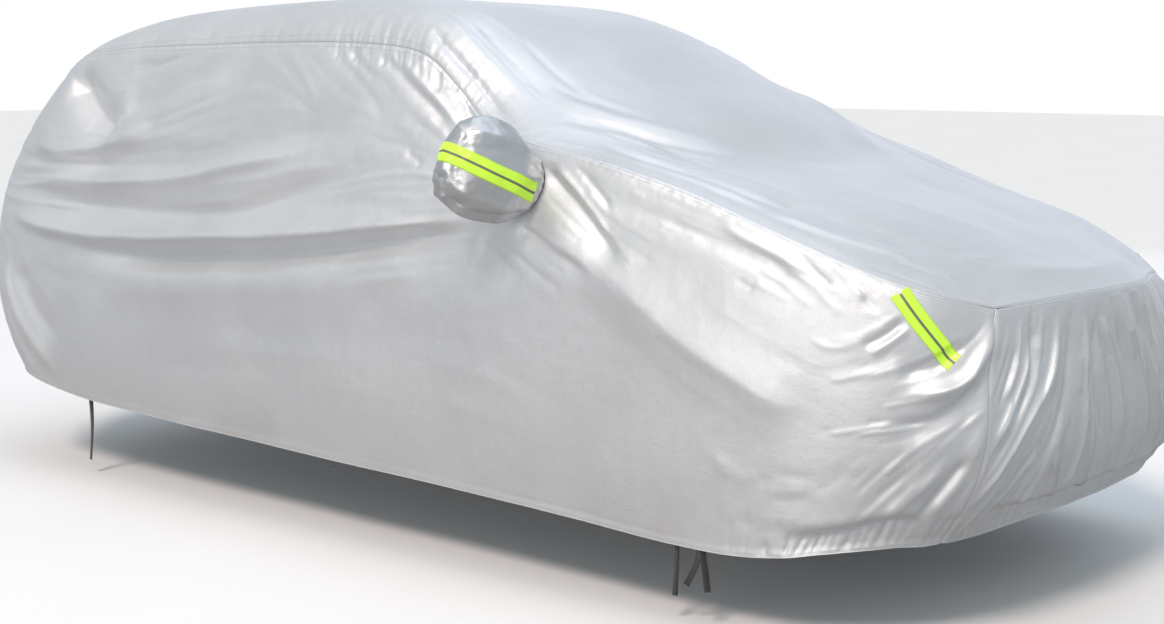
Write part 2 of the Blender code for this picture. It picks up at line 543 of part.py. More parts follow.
def end_grid(point_of, folds, outward, finer):
    """Grid of the nose or tail; finer is how many cells share each cell of the seam."""
    count = (len(ACROSS) - 1) * finer
    even = np.linspace(-1, 1, count + 1)
    seam = np.interp(np.arange(count + 1), np.arange(0, count + 1, finer), ACROSS)
    grid = np.zeros((count + 1, len(UP), 3))
    for j, share in enumerate(UP):
        keep = smooth((share - EVEN_SHARE) / (1 - EVEN_SHARE)) if finer > 1 else 1.0
        for i in range(count + 1):
            across = seam[i] * keep + even[i] * (1 - keep)
            grid[i, j] = point_of(across, share)
    lines = fold_lines(folds, lambda y, z: end_at(point_of, y, z))

    def weight(i, j):
        ends = smooth((1 - abs(even[i])) / SEAM_EASE)
        return ends * smooth((1 - UP[j]) / SEAM_EASE)

    grid = push_folds(grid, lines, weight, outward)
    for i, low, high, part in between_seam_points(count, finer):
        grid[i, -1] = grid[low, -1] * (1 - part) + grid[high, -1] * part
    return grid


def top_grid():
    grid = np.array([[top_point(station, across) for across in ACROSS]
                     for station in station_lines(1.0)])
    lines = fold_lines(TOP_FOLDS, top_at)

    def weight(i, j):
        station = ALONG[i]
        ends = smooth(station / TOP_EASE) * smooth((ALONG[-1] - station) / TOP_EASE)
        return ends * smooth((1 - abs(ACROSS[j])) / SEAM_EASE)

    return push_folds(grid, lines, weight, 1.0)


def pocket_rings(side, wall):
    """Rings of the pocket from its mouth in the side panel to its closed tip."""
    mouth = np.array([wall[i, j] for i, j in mouth_ring_cells()])
    pocket = POCKETS[SIDES[side]]
    square = Vector((0, side, WALL_LEAN))
    leaning = Vector((pocket.forward, side * pocket.outward, pocket.up))
    centre = Vector(mouth.mean(axis=0))
    rings, before = [mouth], 0.0
    for row in POCKET_RINGS.values():
        axis = square.lerp(leaning, row.out / POCKET_RINGS["tip"].out).normalized()
        centre = centre + axis * (row.out - before) * pocket.size
        before = row.out
        up = Vector((0, 0, 1))
        up = (up - axis * up.dot(axis)).normalized() * row.half_height * pocket.size
        front = axis.cross(up).normalized() * side * row.half_depth * pocket.size
        ring = []
        for angle in mouth_angles(row.tape_angle, row.half_height * pocket.size):
            turn = math.radians(angle)
            ring.append(centre + front * math.cos(turn) + up * math.sin(turn))
        rings.append(np.array([tuple(point) for point in ring]))
    return np.array(rings)


def key_of(point):
    return tuple(int(round(value * 1e6)) for value in point)


class Panel:
    """A sheet of cloth: its outside points and its faces, wound to face outwards."""

    def __init__(self, name, points, quads, slot):
        self.name = name
        self.points = [np.array(point, dtype=float) for point in points]
        self.slot = slot
        self.triangles = []
        for quad in quads:
            if len(quad) == 3:
                self.triangles.append(tuple(quad))
            else:
                a, b, c, d = quad
                self.triangles += [(a, b, c), (a, c, d)]
        self.thick = {}
        self.setback = RIM_SETBACK

    def turn(self):
        self.triangles = [(a, c, b) for a, b, c in self.triangles]

    def area_normals(self):
        for a, b, c in self.triangles:
            pa, pb, pc = self.points[a], self.points[b], self.points[c]
            yield (a, b, c), np.cross(pb - pa, pc - pa)

    def rim(self):
        edges = {}
        for a, b, c in self.triangles:
            for one, two in ((a, b), (b, c), (c, a)):
                edges[(one, two)] = True
        return [(one, two) for one, two in edges if (two, one) not in edges]


def grid_panel(name, grid, slot, outward_from, hem=0, skip=()):
    rows, columns = grid.shape[:2]
    quads = []
    for i in range(rows - 1):
        for j in range(columns - 1):
            if (i, j) not in skip:
                quads.append((i * columns + j, (i + 1) * columns + j,
                              (i + 1) * columns + j + 1, i * columns + j + 1))
    used = sorted({index for quad in quads for index in quad})
    number = {index: k for k, index in enumerate(used)}
    points = [grid[index // columns, index % columns] for index in used]
    quads = [tuple(number[index] for index in quad) for quad in quads]
    panel = Panel(name, points, quads, slot)
    facing = sum(float(np.dot(normal, panel.points[tri[0]] - outward_from))
                 for tri, normal in panel.area_normals())
    if facing < 0:
        panel.turn()
    for index in used:
        if index % columns < hem:
            panel.thick[number[index]] = HEM_EXTRA
    panel.number = number
    panel.width = columns
    return panel


def pocket_panel(name, rings, slot):
    count = rings.shape[1]
    points = [point for ring in rings for point in ring]
    tip = len(points)
    last = rings[-1]
    points.append(last.mean(axis=0) + (last.mean(axis=0) - rings[-2].mean(axis=0)) * TIP_REACH)
    quads = []
    for i in range(len(rings) - 1):
        for j in range(count):
            k = (j + 1) % count
            quads.append((i * count + j, i * count + k, (i + 1) * count + k, (i + 1) * count + j))
    base = (len(rings) - 1) * count
    quads += [(base + j, base + (j + 1) % count, tip) for j in range(count)]
    panel = Panel(name, points, quads, slot)
    centre = rings[3].mean(axis=0)
    facing = sum(float(np.dot(normal, panel.points[tri[0]] - centre))
                 for tri, normal in panel.area_normals())
    if facing < 0:
        panel.turn()
    return panel


def shared_normals(panels):
    """One normal per place where cloth meets, and how much a mitre lengthens there."""
    total, faces = {}, {}
    for panel in panels:
        for tri, normal in panel.area_normals():
            unit = normal / max(np.linalg.norm(normal), 1e-12)
            for k, index in enumerate(tri):
                one = panel.points[tri[k - 1]] - panel.points[index]
                two = panel.points[tri[(k + 1) % 3]] - panel.points[index]
                turn = np.dot(one, two) / (np.linalg.norm(one) * np.linalg.norm(two))
                key = key_of(panel.points[index])
                total[key] = total.get(key, 0) + unit * math.acos(min(1.0, max(-1.0, turn)))
                faces.setdefault(key, []).append(unit)
    result = {}
    for key, normal in total.items():
        unit = normal / np.linalg.norm(normal)
        least = min(float(np.dot(unit, face)) for face in faces[key])
        result[key] = (unit, 1.0 / max(least, LEAST_MITRE))
    return result


def rim_shift(panel, normals):
    """Move the rim points back from the seam, along the cloth."""
    behind = {}
    for a, b, c in panel.triangles:
        behind.update({(a, b): c, (b, c): a, (c, a): b})
    shift = {}
    for one, two in panel.rim():
        edge = panel.points[two] - panel.points[one]
        inward = panel.points[behind[(one, two)]] - panel.points[one]
        for index in (one, two):
            across = np.cross(normals[key_of(panel.points[index])][0], edge)
            across *= np.sign(np.dot(across, inward)) / np.linalg.norm(across)
            shift[index] = shift.get(index, 0) + across
    return {index: move / np.linalg.norm(move) * panel.setback for index, move in shift.items()}


def link_mesh(name, points, faces, material, collection):
    mesh = bpy.data.meshes.new(name)
    mesh.from_pydata([tuple(map(float, point)) for point in points], [], faces)
    mesh.materials.append(material)
    mesh.update()
    item = bpy.data.objects.new(name, mesh)
    collection.objects.link(item)
    item.location = (-MOUNT_X, 0.0, -MOUNT_Z)
    mesh.polygons.foreach_set("use_smooth", [True] * len(mesh.polygons))


def cloth_solid(panel, normals, materials, collection, seam_points=()):
    """Close a panel into a sheet: outside, inside and the rim between them."""
    outside, inside = [], []
    shift = rim_shift(panel, normals)
    for index, point in enumerate(panel.points):
        normal, mitre = normals[key_of(point)]
        move = shift.get(index, 0)
        outside.append(point + normal * panel.thick.get(index, 0.0) + move)
        inside.append(point - normal * CLOTH * mitre + move)
    for index, one, two, part in seam_points:
        outside[index] = outside[one] * (1 - part) + outside[two] * part
        inside[index] = inside[one] * (1 - part) + inside[two] * part
    count = len(outside)
    faces = list(panel.triangles)
    faces += [(c + count, b + count, a + count) for a, b, c in panel.triangles]
    for one, two in panel.rim():
        # the same diagonal on both sides of a seam, so that twisted rims stay apart
        if key_of(panel.points[one]) < key_of(panel.points[two]):
            faces += [(two, one, two + count), (one, one + count, two + count)]
        else:
            faces += [(two, one, one + count), (two, one + count, two + count)]
    link_mesh(panel.name, outside + inside, faces, materials[panel.slot], collection)


def tape_solid(name, panel, cells, normals, materials, collection):
    """Tape lying a seam gap above some cells of a panel; cells are rows of point indices."""
    under, over = [], []
    for line in cells:
        for index in line:
            point = panel.points[index]
            normal, mitre = normals[key_of(point)]
            mitre = min(mitre, TAPE_MITRE)
            under.append(point + normal * TAPE_LIFT * mitre)
            over.append(point + normal * (TAPE_LIFT + TAPE) * mitre)
    index_of = {}
    for row, line in enumerate(cells):
        for column, index in enumerate(line):
            index_of[index] = row * 2 + column
    faces = []
    for a, b, c in panel.triangles:
        if a in index_of and b in index_of and c in index_of:
            rows = sorted({index_of[k] // 2 for k in (a, b, c)})
            if rows[-1] - rows[0] == 1:
                faces.append(tuple(index_of[k] for k in (a, b, c)))
    count = len(under)
    edges = {}
    for a, b, c in faces:
        for one, two in ((a, b), (b, c), (c, a)):
            edges[(one, two)] = True
    rim = [(one, two) for one, two in edges if (two, one) not in edges]
    closed = list(faces) + [(c + count, b + count, a + count) for a, b, c in faces]
    for one, two in rim:
        closed += [(two, one, one + count), (two, one + count, two + count)]
    link_mesh(name, over + under, closed, materials["Reflective tape"], collection)


def strap_solid(name, strap, side, materials, collection):
    """A flat webbing strap that hangs behind the hem along a path of (x, height)."""
    y = side * (strap.hem_half_width - STRAP_INSET)
    path = [Vector((x, y, z)) for x, z in strap.path]
    mesh = bmesh.new()
    rows = []
    for k, point in enumerate(path):
        ahead = path[min(k + 1, len(path) - 1)] - path[max(k - 1, 0)]
        across = ahead.normalized().cross(Vector((0, 1, 0)))
        rows.append([mesh.verts.new(point + across * WEBBING_WIDTH / 2),
                     mesh.verts.new(point - across * WEBBING_WIDTH / 2)])
    for one, two in zip(rows, rows[1:]):
        mesh.faces.new((one[0], one[1], two[1], two[0]))
    data = bpy.data.meshes.new(name)
    mesh.to_mesh(data)
    mesh.free()
    data.materials.append(materials["Black webbing"])
    item = bpy.data.objects.new(name, data)
    collection.objects.link(item)
    item.location = (-MOUNT_X, 0.0, -MOUNT_Z)
    solidify = item.modifiers.new("Thickness", "SOLIDIFY")
    solidify.thickness = WEBBING
    solidify.offset = 0.0
    triangulate = item.modifiers.new("Triangles", "TRIANGULATE")
    triangulate.quad_method = "FIXED"


def hem_loop(name, side, materials, collection):
    """A small U of thick wire whose legs are held behind the hem."""
    half = LOOP_HALF_WIDTH
    curve = bpy.data.curves.new(name, "CURVE")
    curve.dimensions = "3D"
    curve.bevel_depth = LOOP_RADIUS
    curve.bevel_resolution = 1
    curve.use_fill_caps = True
    curve.resolution_u = 1
    turns = [math.pi * k / LOOP_STEPS for k in range(LOOP_STEPS + 1)]
    bow = [(-half * math.cos(turn), LOOP_FOOT + half - half * math.sin(turn)) for turn in turns]
    points = [(-half, LOOP_TOP)] + bow + [(half, LOOP_TOP)]
    spline = curve.splines.new("POLY")
    spline.points.add(len(points) - 1)
    y = side * (LOOP_HEM_HALF_WIDTH - STRAP_INSET)
    for place, (x, z) in zip(spline.points, points):
        place.co = (LOOP_X + x, y, z, 1.0)
    curve.materials.append(materials["Grey plastic"])
    item = bpy.data.objects.new(name, curve)
    collection.objects.link(item)
    item.location = (-MOUNT_X, 0.0, -MOUNT_Z)


def main():
    collection = reset_scene()
    materials = make_materials()
    middle = np.array(INSIDE)
    block = {(i, j) for i in range(*POCKET_COLUMNS) for j in range(*POCKET_LINES)}

    panels = {"top_panel": grid_panel("top_panel", top_grid(), "Silver cloth", middle)}
    folds = {-1: RIGHT_FOLDS, 1: LEFT_FOLDS}
    for side, word in SIDES.items():
        wall = side_grid(side, folds[side])
        panels["side_" + word] = grid_panel("side_panel_" + word, wall, "Silver cloth", middle,
                                            HEM_LINES, block)
        panels["pocket_" + word] = pocket_panel("mirror_pocket_" + word,
                                                pocket_rings(side, wall), "Pocket cloth")
    panels["nose"] = grid_panel("nose_panel", end_grid(nose_point, NOSE_FOLDS, 1.0, NOSE_FINER),
                                "Silver cloth", middle, HEM_LINES)
    panels["tail"] = grid_panel("tail_panel", end_grid(tail_point, TAIL_FOLDS, -1.0, 1),
                                "Silver cloth", middle, HEM_LINES)

    # the seams that twist most need a little more room to stay apart
    for key in ("nose", "pocket_right", "pocket_left"):
        panels[key].setback = TWISTED_SETBACK

    normals = shared_normals(panels.values())
    lines = len(UP)
    nose = panels["nose"]
    nose_points = [tuple(nose.number[k * lines + lines - 1] for k in (i, low, high)) + (part,)
                   for i, low, high, part in between_seam_points(NOSE_FINER * (len(ACROSS) - 1),
                                                                 NOSE_FINER)]
    for key, panel in panels.items():
        cloth_solid(panel, normals, materials, collection, nose_points if key == "nose" else ())

    for side, word in SIDES.items():
        pocket = panels["pocket_" + word]
        cells = [(RING_POINTS * ring, RING_POINTS * ring + 1) for ring in range(1, len(POCKET_RINGS))]
        tape_solid("pocket_tape_" + word, pocket, cells, normals, materials, collection)
        wall = panels["side_" + word]
        rows = [j for j, share in enumerate(UP) if STRIP_FOOT <= share <= STRIP_TOP]
        cells = [tuple(wall.number[i * lines + j] for i in STRIP_LINES) for j in rows]
        tape_solid("corner_strip_" + word, wall, cells, normals, materials, collection)
        for name, strap in STRAPS.items():
            strap_solid(name + "_" + word, strap, side, materials, collection)
        hem_loop("hem_loop_" + word, side, materials, collection)


main()
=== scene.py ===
"""Looks of the fitted car cover: five cloth panels, two mirror pockets, tape, straps and hooks.

Sizes are metres. The tables give places in the car's own frame: x forward from the front
wheel centre, half widths from the middle, heights above the ground. The right side is -Y.
"""
import math
from collections import namedtuple

import bmesh
import bpy
import numpy as np
from mathutils import Euler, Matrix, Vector


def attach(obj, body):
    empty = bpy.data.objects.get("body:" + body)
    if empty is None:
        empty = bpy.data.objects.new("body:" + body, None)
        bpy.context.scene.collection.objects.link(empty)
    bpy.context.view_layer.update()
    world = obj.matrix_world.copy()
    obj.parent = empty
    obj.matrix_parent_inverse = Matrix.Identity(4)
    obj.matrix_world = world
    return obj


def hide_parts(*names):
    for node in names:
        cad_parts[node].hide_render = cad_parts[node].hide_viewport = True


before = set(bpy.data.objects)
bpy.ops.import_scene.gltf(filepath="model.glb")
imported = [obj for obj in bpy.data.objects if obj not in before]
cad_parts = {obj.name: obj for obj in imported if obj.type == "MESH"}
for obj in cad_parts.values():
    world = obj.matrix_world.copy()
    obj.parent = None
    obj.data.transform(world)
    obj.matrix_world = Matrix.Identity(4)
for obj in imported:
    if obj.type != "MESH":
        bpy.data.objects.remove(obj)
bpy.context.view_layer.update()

bl_info = {
    "name": "Fitted car cover",
    "version": (1, 0, 0),
    "blender": (4, 5, 0),
    "location": "View3D > Sidebar > Car cover",
    "description": "Builds the cloth, tape, straps and stitching of a fitted car cover",
    "category": "Add Mesh",
}

MOUNT_X = -1.70          # the roof rest, in the car's frame
MOUNT_Z = 1.683
SIDES = {-1: "right", 1: "left"}

# ---------------------------------------------------------------- shape of the panels

TopRow = namedtuple("TopRow", "x_edge half_width z_right z_left x_mid z_mid crown_right crown_left")
TOP_ROWS = np.array([
    TopRow(-3.00, 0.640, 1.480, 1.480, -3.13, 1.515, 3.0, 3.0),
    TopRow(-2.84, 0.685, 1.510, 1.510, -2.90, 1.600, 5.0, 5.0),
    TopRow(-2.52, 0.700, 1.530, 1.530, -2.55, 1.650, 7.0, 7.0),
    TopRow(-2.10, 0.705, 1.540, 1.540, -2.11, 1.678, 8.0, 8.0),
    TopRow(-1.70, 0.705, 1.545, 1.540, -1.70, 1.685, 8.0, 7.0),
    TopRow(-1.35, 0.705, 1.540, 1.520, -1.32, 1.675, 8.0, 6.0),
    TopRow(-1.09, 0.725, 1.510, 1.470, -1.05, 1.630, 8.0, 5.0),
    TopRow(-0.92, 0.745, 1.410, 1.390, -0.80, 1.535, 8.0, 5.0),
    TopRow(-0.79, 0.775, 1.320, 1.315, -0.56, 1.425, 7.0, 5.5),
    TopRow(-0.58, 0.830, 1.262, 1.262, -0.32, 1.315, 5.0, 5.0),
    TopRow(-0.32, 0.855, 1.225, 1.190, -0.10, 1.200, 4.0, 3.2),
    TopRow(0.00, 0.850, 1.150, 1.080, 0.12, 1.135, 4.0, 3.2),
    TopRow(0.27, 0.840, 1.060, 1.000, 0.34, 1.080, 3.5, 3.2),
    TopRow(0.50, 0.800, 0.975, 0.930, 0.54, 1.020, 3.0, 3.0),
    TopRow(0.66, 0.725, 0.920, 0.890, 0.71, 0.955, 2.6, 2.6),
    TopRow(0.775, 0.580, 0.880, 0.868, 0.85, 0.885, 2.4, 2.4),
])
# A wall's hem and its fullest place, and how late it turns in above that place.
WallRow = namedtuple("WallRow", "hem_x hem_y hem_z belt_x belt_y belt_z fullness")
SIDE_ROWS = np.array([
    (-3.235, 0.710, 0.385, -3.36, 0.735, 0.68, 2.4),
    (-3.06, 0.870, 0.330, -3.19, 0.885, 0.68, 2.1),
    (-2.72, 0.887, 0.280, -2.79, 0.907, 0.69, 1.9),
    (-2.25, 0.890, 0.262, -2.27, 0.910, 0.70, 1.9),
    (-1.78, 0.890, 0.250, -1.79, 0.910, 0.72, 1.9),
    (-1.38, 0.890, 0.242, -1.38, 0.910, 0.74, 1.9),
    (-1.05, 0.890, 0.238, -1.06, 0.910, 0.75, 1.9),
    (-0.84, 0.890, 0.234, -0.86, 0.910, 0.76, 1.9),
    (-0.66, 0.892, 0.230, -0.68, 0.913, 0.77, 1.9),
    (-0.48, 0.894, 0.226, -0.50, 0.917, 0.77, 1.9),
    (-0.27, 0.896, 0.220, -0.28, 0.920, 0.76, 1.9),
    (0.00, 0.898, 0.212, 0.00, 0.920, 0.74, 1.9),
    (0.22, 0.892, 0.215, 0.26, 0.905, 0.70, 1.9),
    (0.41, 0.865, 0.240, 0.50, 0.860, 0.65, 1.9),
    (0.56, 0.765, 0.262, 0.67, 0.765, 0.62, 2.0),
    (0.66, 0.620, 0.270, 0.79, 0.630, 0.60, 2.1),
])
TAIL_ROWS = np.array([
    (-3.34, 0.00, 0.410, -3.46, 0.00, 0.68, 2.4),
    (-3.33, 0.25, 0.408, -3.455, 0.25, 0.68, 2.4),
    (-3.305, 0.50, 0.400, -3.43, 0.51, 0.68, 2.4),
    tuple(SIDE_ROWS[0]),
])
NOSE_ROWS = np.array([
    (0.745, 0.00, 0.272, 0.865, 0.00, 0.60, 2.1),
    (0.740, 0.21, 0.272, 0.860, 0.21, 0.60, 2.1),
    (0.715, 0.42, 0.270, 0.838, 0.43, 0.60, 2.1),
    tuple(SIDE_ROWS[-1]),
])
HALF_WIDTH = TopRow._fields.index("half_width")
HEM_Z = WallRow._fields.index("hem_z")
LAST = len(TOP_ROWS) - 1
CORNER_PULL = (0.065, 0.055)         # how far back and inwards the left front corner is drawn
PULL_FROM = (0.30, 0.05)             # x and y at which that pull starts
PULL_OVER = (0.45, 0.50)             # distances over which it grows
SOLVE_STEPS = 34                     # halvings when a place is searched for


def curve_point(before, one, two, after, part):
    """Point of a smooth curve between one and two, with the points before and after them."""
    return 0.5 * (2 * one + (two - before) * part
                  + (2 * before - 5 * one + 4 * two - after) * part ** 2
                  + (3 * one - before - 3 * two + after) * part ** 3)


def rows_at(table, at):
    """Smooth rows of a table at row numbers with fractions."""
    last = len(table) - 1
    at = np.clip(np.asarray(at, dtype=float), 0, last)
    low = np.minimum(at.astype(int), last - 1)
    part = (at - low)[..., None]
    ends = np.vstack([2 * table[:1] - table[1:2], table, 2 * table[-1:] - table[-2:-1]])
    return curve_point(ends[low], ends[low + 1], ends[low + 2], ends[low + 3], part)


def smooth(value):
    """0 below 0, 1 above 1, with a soft step between."""
    value = np.clip(value, 0.0, 1.0)
    return value * value * (3 - 2 * value)


def in_row_frame(points):
    """Points of the car's frame, seen from the cover's mount."""
    return points - np.array([MOUNT_X, 0.0, MOUNT_Z])


def top_points(station, across):
    """Points of the top; its left front corner is drawn in."""
    station, across = np.broadcast_arrays(np.asarray(station, float), np.asarray(across, float))
    row = TopRow(*np.moveaxis(rows_at(TOP_ROWS, station), -1, 0))
    crown = np.where(across < 0, row.crown_right, row.crown_left)
    x = row.x_edge + (row.x_mid - row.x_edge) * (1 - across ** 2)
    edge = row.z_right * (1 - across) / 2 + row.z_left * (1 + across) / 2
    rise = row.z_mid - (row.z_right + row.z_left) / 2
    z = edge + rise * (1 - np.abs(across) ** crown)
    y = across * row.half_width
    pull = (smooth((x - PULL_FROM[0]) / PULL_OVER[0])
            * smooth((y - PULL_FROM[1]) / PULL_OVER[1]))
    return np.stack([x - pull * CORNER_PULL[0], y - pull * CORNER_PULL[1], z], axis=-1)


def wall_points(row, top, share, side):
    """Points of a wall at shares of its height; side is +1 left, -1 right."""
    row = WallRow(*np.moveaxis(row, -1, 0))
    hem = np.stack([row.hem_x, side * row.hem_y, row.hem_z], axis=-1)
    belt = np.stack([row.belt_x, side * row.belt_y, row.belt_z], axis=-1)
    z = row.hem_z + (top[..., 2] - row.hem_z) * share
    below = np.clip((row.belt_z - z) / (row.belt_z - row.hem_z), 0, None) ** 2
    above = np.clip((z - row.belt_z) / (top[..., 2] - row.belt_z), 0, None) ** row.fullness
    points = belt + (hem - belt) * below[..., None] + (top - belt) * above[..., None]
    points[..., 2] = z
    return points


def side_points(station, share, side):
    """Points of a side panel at row numbers and shares of its height."""
    station, share = np.broadcast_arrays(np.asarray(station, float), np.asarray(share, float))
    return wall_points(rows_at(SIDE_ROWS, station), top_points(station, side), share, side)


def end_points(table, station, across, share):
    """Points of the nose or tail panel; across runs from -1 at the right to 1 at the left."""
    across, share = np.broadcast_arrays(np.asarray(across, float), np.asarray(share, float))
    row = rows_at(table, np.abs(across) * (len(table) - 1))
    side = np.where(across >= 0, 1.0, -1.0)
    return wall_points(row, top_points(np.full(across.shape, float(station)), across), share, side)


def solved(function, target, low, high):
    """Values between low and high at which a rising function reaches the targets."""
    low, high = np.full(np.shape(target), float(low)), np.full(np.shape(target), float(high))
    for _ in range(SOLVE_STEPS):
        middle = (low + high) / 2
        less = function(middle) < target
        low, high = np.where(less, middle, low), np.where(less, high, middle)
    return (low + high) / 2


def side_at(x, z, side):
    """Points of the plain side wall with given x and height."""
    x, z = np.asarray(x, float), np.asarray(z, float)

    def share_of(station):
        hem = rows_at(SIDE_ROWS, station)[..., HEM_Z]
        return (z - hem) / (top_points(station, side)[..., 2] - hem)

    station = solved(lambda at: side_points(at, share_of(at), side)[..., 0], x, 0.0, LAST)
    return side_points(station, share_of(station), side)


def end_at(table, station, y, z):
    """Points of the plain nose or tail wall with given y and height."""
    y, z = np.asarray(y, float), np.asarray(z, float)

    def share_of(across):
        low = end_points(table, station, across, 0.0)[..., 2]
        return (z - low) / (end_points(table, station, across, 1.0)[..., 2] - low)

    across = solved(lambda at: end_points(table, station, at, share_of(at))[..., 1], y, -1.0, 1.0)
    return end_points(table, station, across, share_of(across))


def top_at(x, y):
    """Points of the plain top with given x and y."""
    x, y = np.asarray(x, float), np.asarray(y, float)

    def across_of(station):
        return np.clip(y / rows_at(TOP_ROWS, station)[..., HALF_WIDTH], -1, 1)

    station = solved(lambda at: top_points(at, across_of(at))[..., 0], x, 0.0, LAST)
    return top_points(station, across_of(station))


# ---------------------------------------------------------------- creases of the cloth

# A crease runs along a path; it stands out by its height (minus for a trough), with a width
# on its upper or left flank and another on the other one. A sharpness of 2 is a bell curve.
Crease = namedtuple("Crease", "path height above below up sharp")
SOFT, CRISP = 1.5, 1.2
MM = 0.001
# Right side: (x, height above ground) paths, heights and widths in millimetres.
RIGHT_CREASES = (
    # long folds that sweep forward from the tail corner to the mirror pocket
    (((-2.84, 1.12), (-2.46, 1.12), (-2.02, 1.16), (-1.61, 1.25), (-1.28, 1.30)), -28, 84, 36),
    (((-3.07, 1.03), (-2.81, 1.055), (-2.56, 1.06), (-2.11, 1.10), (-1.71, 1.165), (-1.42, 1.22)),
     26, 36, 28),
    (((-3.06, 0.985), (-2.67, 0.98), (-2.25, 0.975), (-1.98, 0.98), (-1.77, 1.00), (-1.49, 1.08),
      (-0.99, 1.19)), -30, 48, 60),
    (((-3.11, 0.93), (-2.97, 0.90), (-2.78, 0.88), (-2.47, 0.87), (-1.97, 0.90), (-1.56, 0.93),
      (-1.29, 0.96), (-0.94, 1.01), (-0.71, 1.04)), 42, 50, 22),
    (((-2.77, 0.805), (-2.23, 0.82), (-1.66, 0.865), (-1.37, 0.90), (-0.94, 0.975), (-0.68, 1.00)),
     -46, 38, 50),
    (((-2.65, 0.75), (-2.29, 0.755), (-1.75, 0.79), (-1.46, 0.83), (-1.10, 0.89), (-0.86, 0.93)),
     20, 46, 90),
    (((-2.95, 0.905), (-2.47, 0.878), (-1.97, 0.905), (-1.56, 0.935), (-1.20, 0.975),
      (-0.80, 1.035)), 7, 15, 9),
    # rear quarter
    (((-2.90, 1.46), (-2.78, 1.37), (-2.65, 1.285), (-2.52, 1.235)), -56, 54, 70),
    (((-2.54, 1.30), (-2.38, 1.355), (-2.22, 1.40), (-2.02, 1.46)), -17, 84, 50),
    (((-2.52, 1.25), (-2.26, 1.335), (-1.96, 1.45)), 10, 24, 70),
    (((-3.05, 1.21), (-2.88, 1.165), (-2.72, 1.165), (-2.50, 1.20), (-2.29, 1.26)), 26, 60, 26),
    (((-2.95, 1.12), (-2.70, 1.13), (-2.45, 1.16)), 8, 16, 14),
    # front of the roof
    (((-1.42, 1.53), (-1.33, 1.47), (-1.24, 1.42)), -5, 10, 16),
    (((-1.28, 1.51), (-1.16, 1.45), (-0.99, 1.35), (-0.90, 1.29)), -9, 12, 18),
    (((-1.21, 1.52), (-1.04, 1.41), (-0.95, 1.35), (-0.84, 1.27)), 7, 12, 12),
    (((-1.52, 1.53), (-1.34, 1.43), (-1.16, 1.31)), -4, 12, 16),
    (((-1.72, 1.53), (-1.60, 1.44), (-1.50, 1.35)), 3, 14, 16),
    (((-1.05, 1.22), (-1.00, 1.20), (-0.97, 1.18)), -6, 10, 12),
    # round the mirror pocket
    (((-0.50, 1.205), (-0.42, 1.15), (-0.34, 1.10), (-0.24, 1.02), (-0.14, 0.93)), -24, 20, 38),
    (((-0.44, 1.20), (-0.36, 1.15), (-0.27, 1.08), (-0.18, 1.00)), 13, 12, 14),
    (((-0.38, 1.215), (-0.28, 1.15), (-0.20, 1.08)), -8, 10, 10),
    (((-0.56, 1.035), (-0.47, 1.00), (-0.36, 0.955), (-0.24, 0.90)), -14, 14, 34),
    (((-0.70, 0.985), (-0.60, 0.93), (-0.50, 0.86)), -6, 40, 60),
    (((-0.50, 1.03), (-0.36, 0.975), (-0.18, 0.905), (0.05, 0.77), (0.29, 0.65), (0.42, 0.60)),
     22, 70, 84),
    (((-0.72, 1.06), (-0.90, 1.04), (-1.10, 1.03)), -6, 16, 24),
    (((-0.70, 1.22), (-0.80, 1.25), (-0.92, 1.27)), -5, 12, 12),
    # shoulder above the front wheel
    (((-0.37, 1.235), (-0.14, 1.185), (0.10, 1.12)), -5, 8, 10),
    (((-0.28, 1.13), (0.02, 1.06), (0.24, 0.99), (0.46, 0.90)), -7, 26, 36),
    (((-0.22, 1.08), (0.08, 1.00), (0.34, 0.92)), 5, 30, 36),
    (((0.12, 1.07), (0.28, 1.005), (0.40, 0.95)), 9, 12, 12),
    (((0.34, 1.02), (0.40, 0.97), (0.46, 0.93)), -9, 9, 10),
    (((0.44, 0.99), (0.50, 0.94), (0.54, 0.90)), 9, 9, 9),
    (((0.48, 0.96), (0.53, 0.92), (0.57, 0.87)), -8, 8, 10),
    (((0.30, 0.98), (0.42, 0.92), (0.50, 0.855)), 4, 10, 9),
    # round the headlight and the front corner
    (((0.775, 0.86), (0.78, 0.80), (0.77, 0.76), (0.75, 0.715), (0.71, 0.69), (0.62, 0.67)),
     33, 18, 22),
    (((0.74, 0.80), (0.69, 0.745), (0.62, 0.725)), -13, 26, 16),
    (((0.79, 0.78), (0.76, 0.68), (0.70, 0.61), (0.60, 0.60)), -16, 18, 40),
    (((0.54, 0.79), (0.59, 0.82), (0.63, 0.86)), -10, 12, 12),
    (((0.56, 0.77), (0.60, 0.80), (0.64, 0.84)), 8, 9, 10),
    (((0.79, 0.60), (0.74, 0.47), (0.66, 0.35)), 14, 13, 17),
    (((0.76, 0.52), (0.70, 0.43), (0.65, 0.35)), -15, 14, 18),
    (((0.72, 0.50), (0.65, 0.42), (0.58, 0.35)), 9, 14, 14),
    # foot of the tail corner
    (((-3.12, 0.75), (-3.08, 0.60), (-2.99, 0.49), (-2.82, 0.33)), 20, 40, 30),
    (((-3.16, 0.62), (-3.08, 0.48), (-2.96, 0.35)), -9, 24, 22),
    (((-3.03, 0.74), (-2.96, 0.60), (-2.80, 0.46)), -14, 44, 40),
)
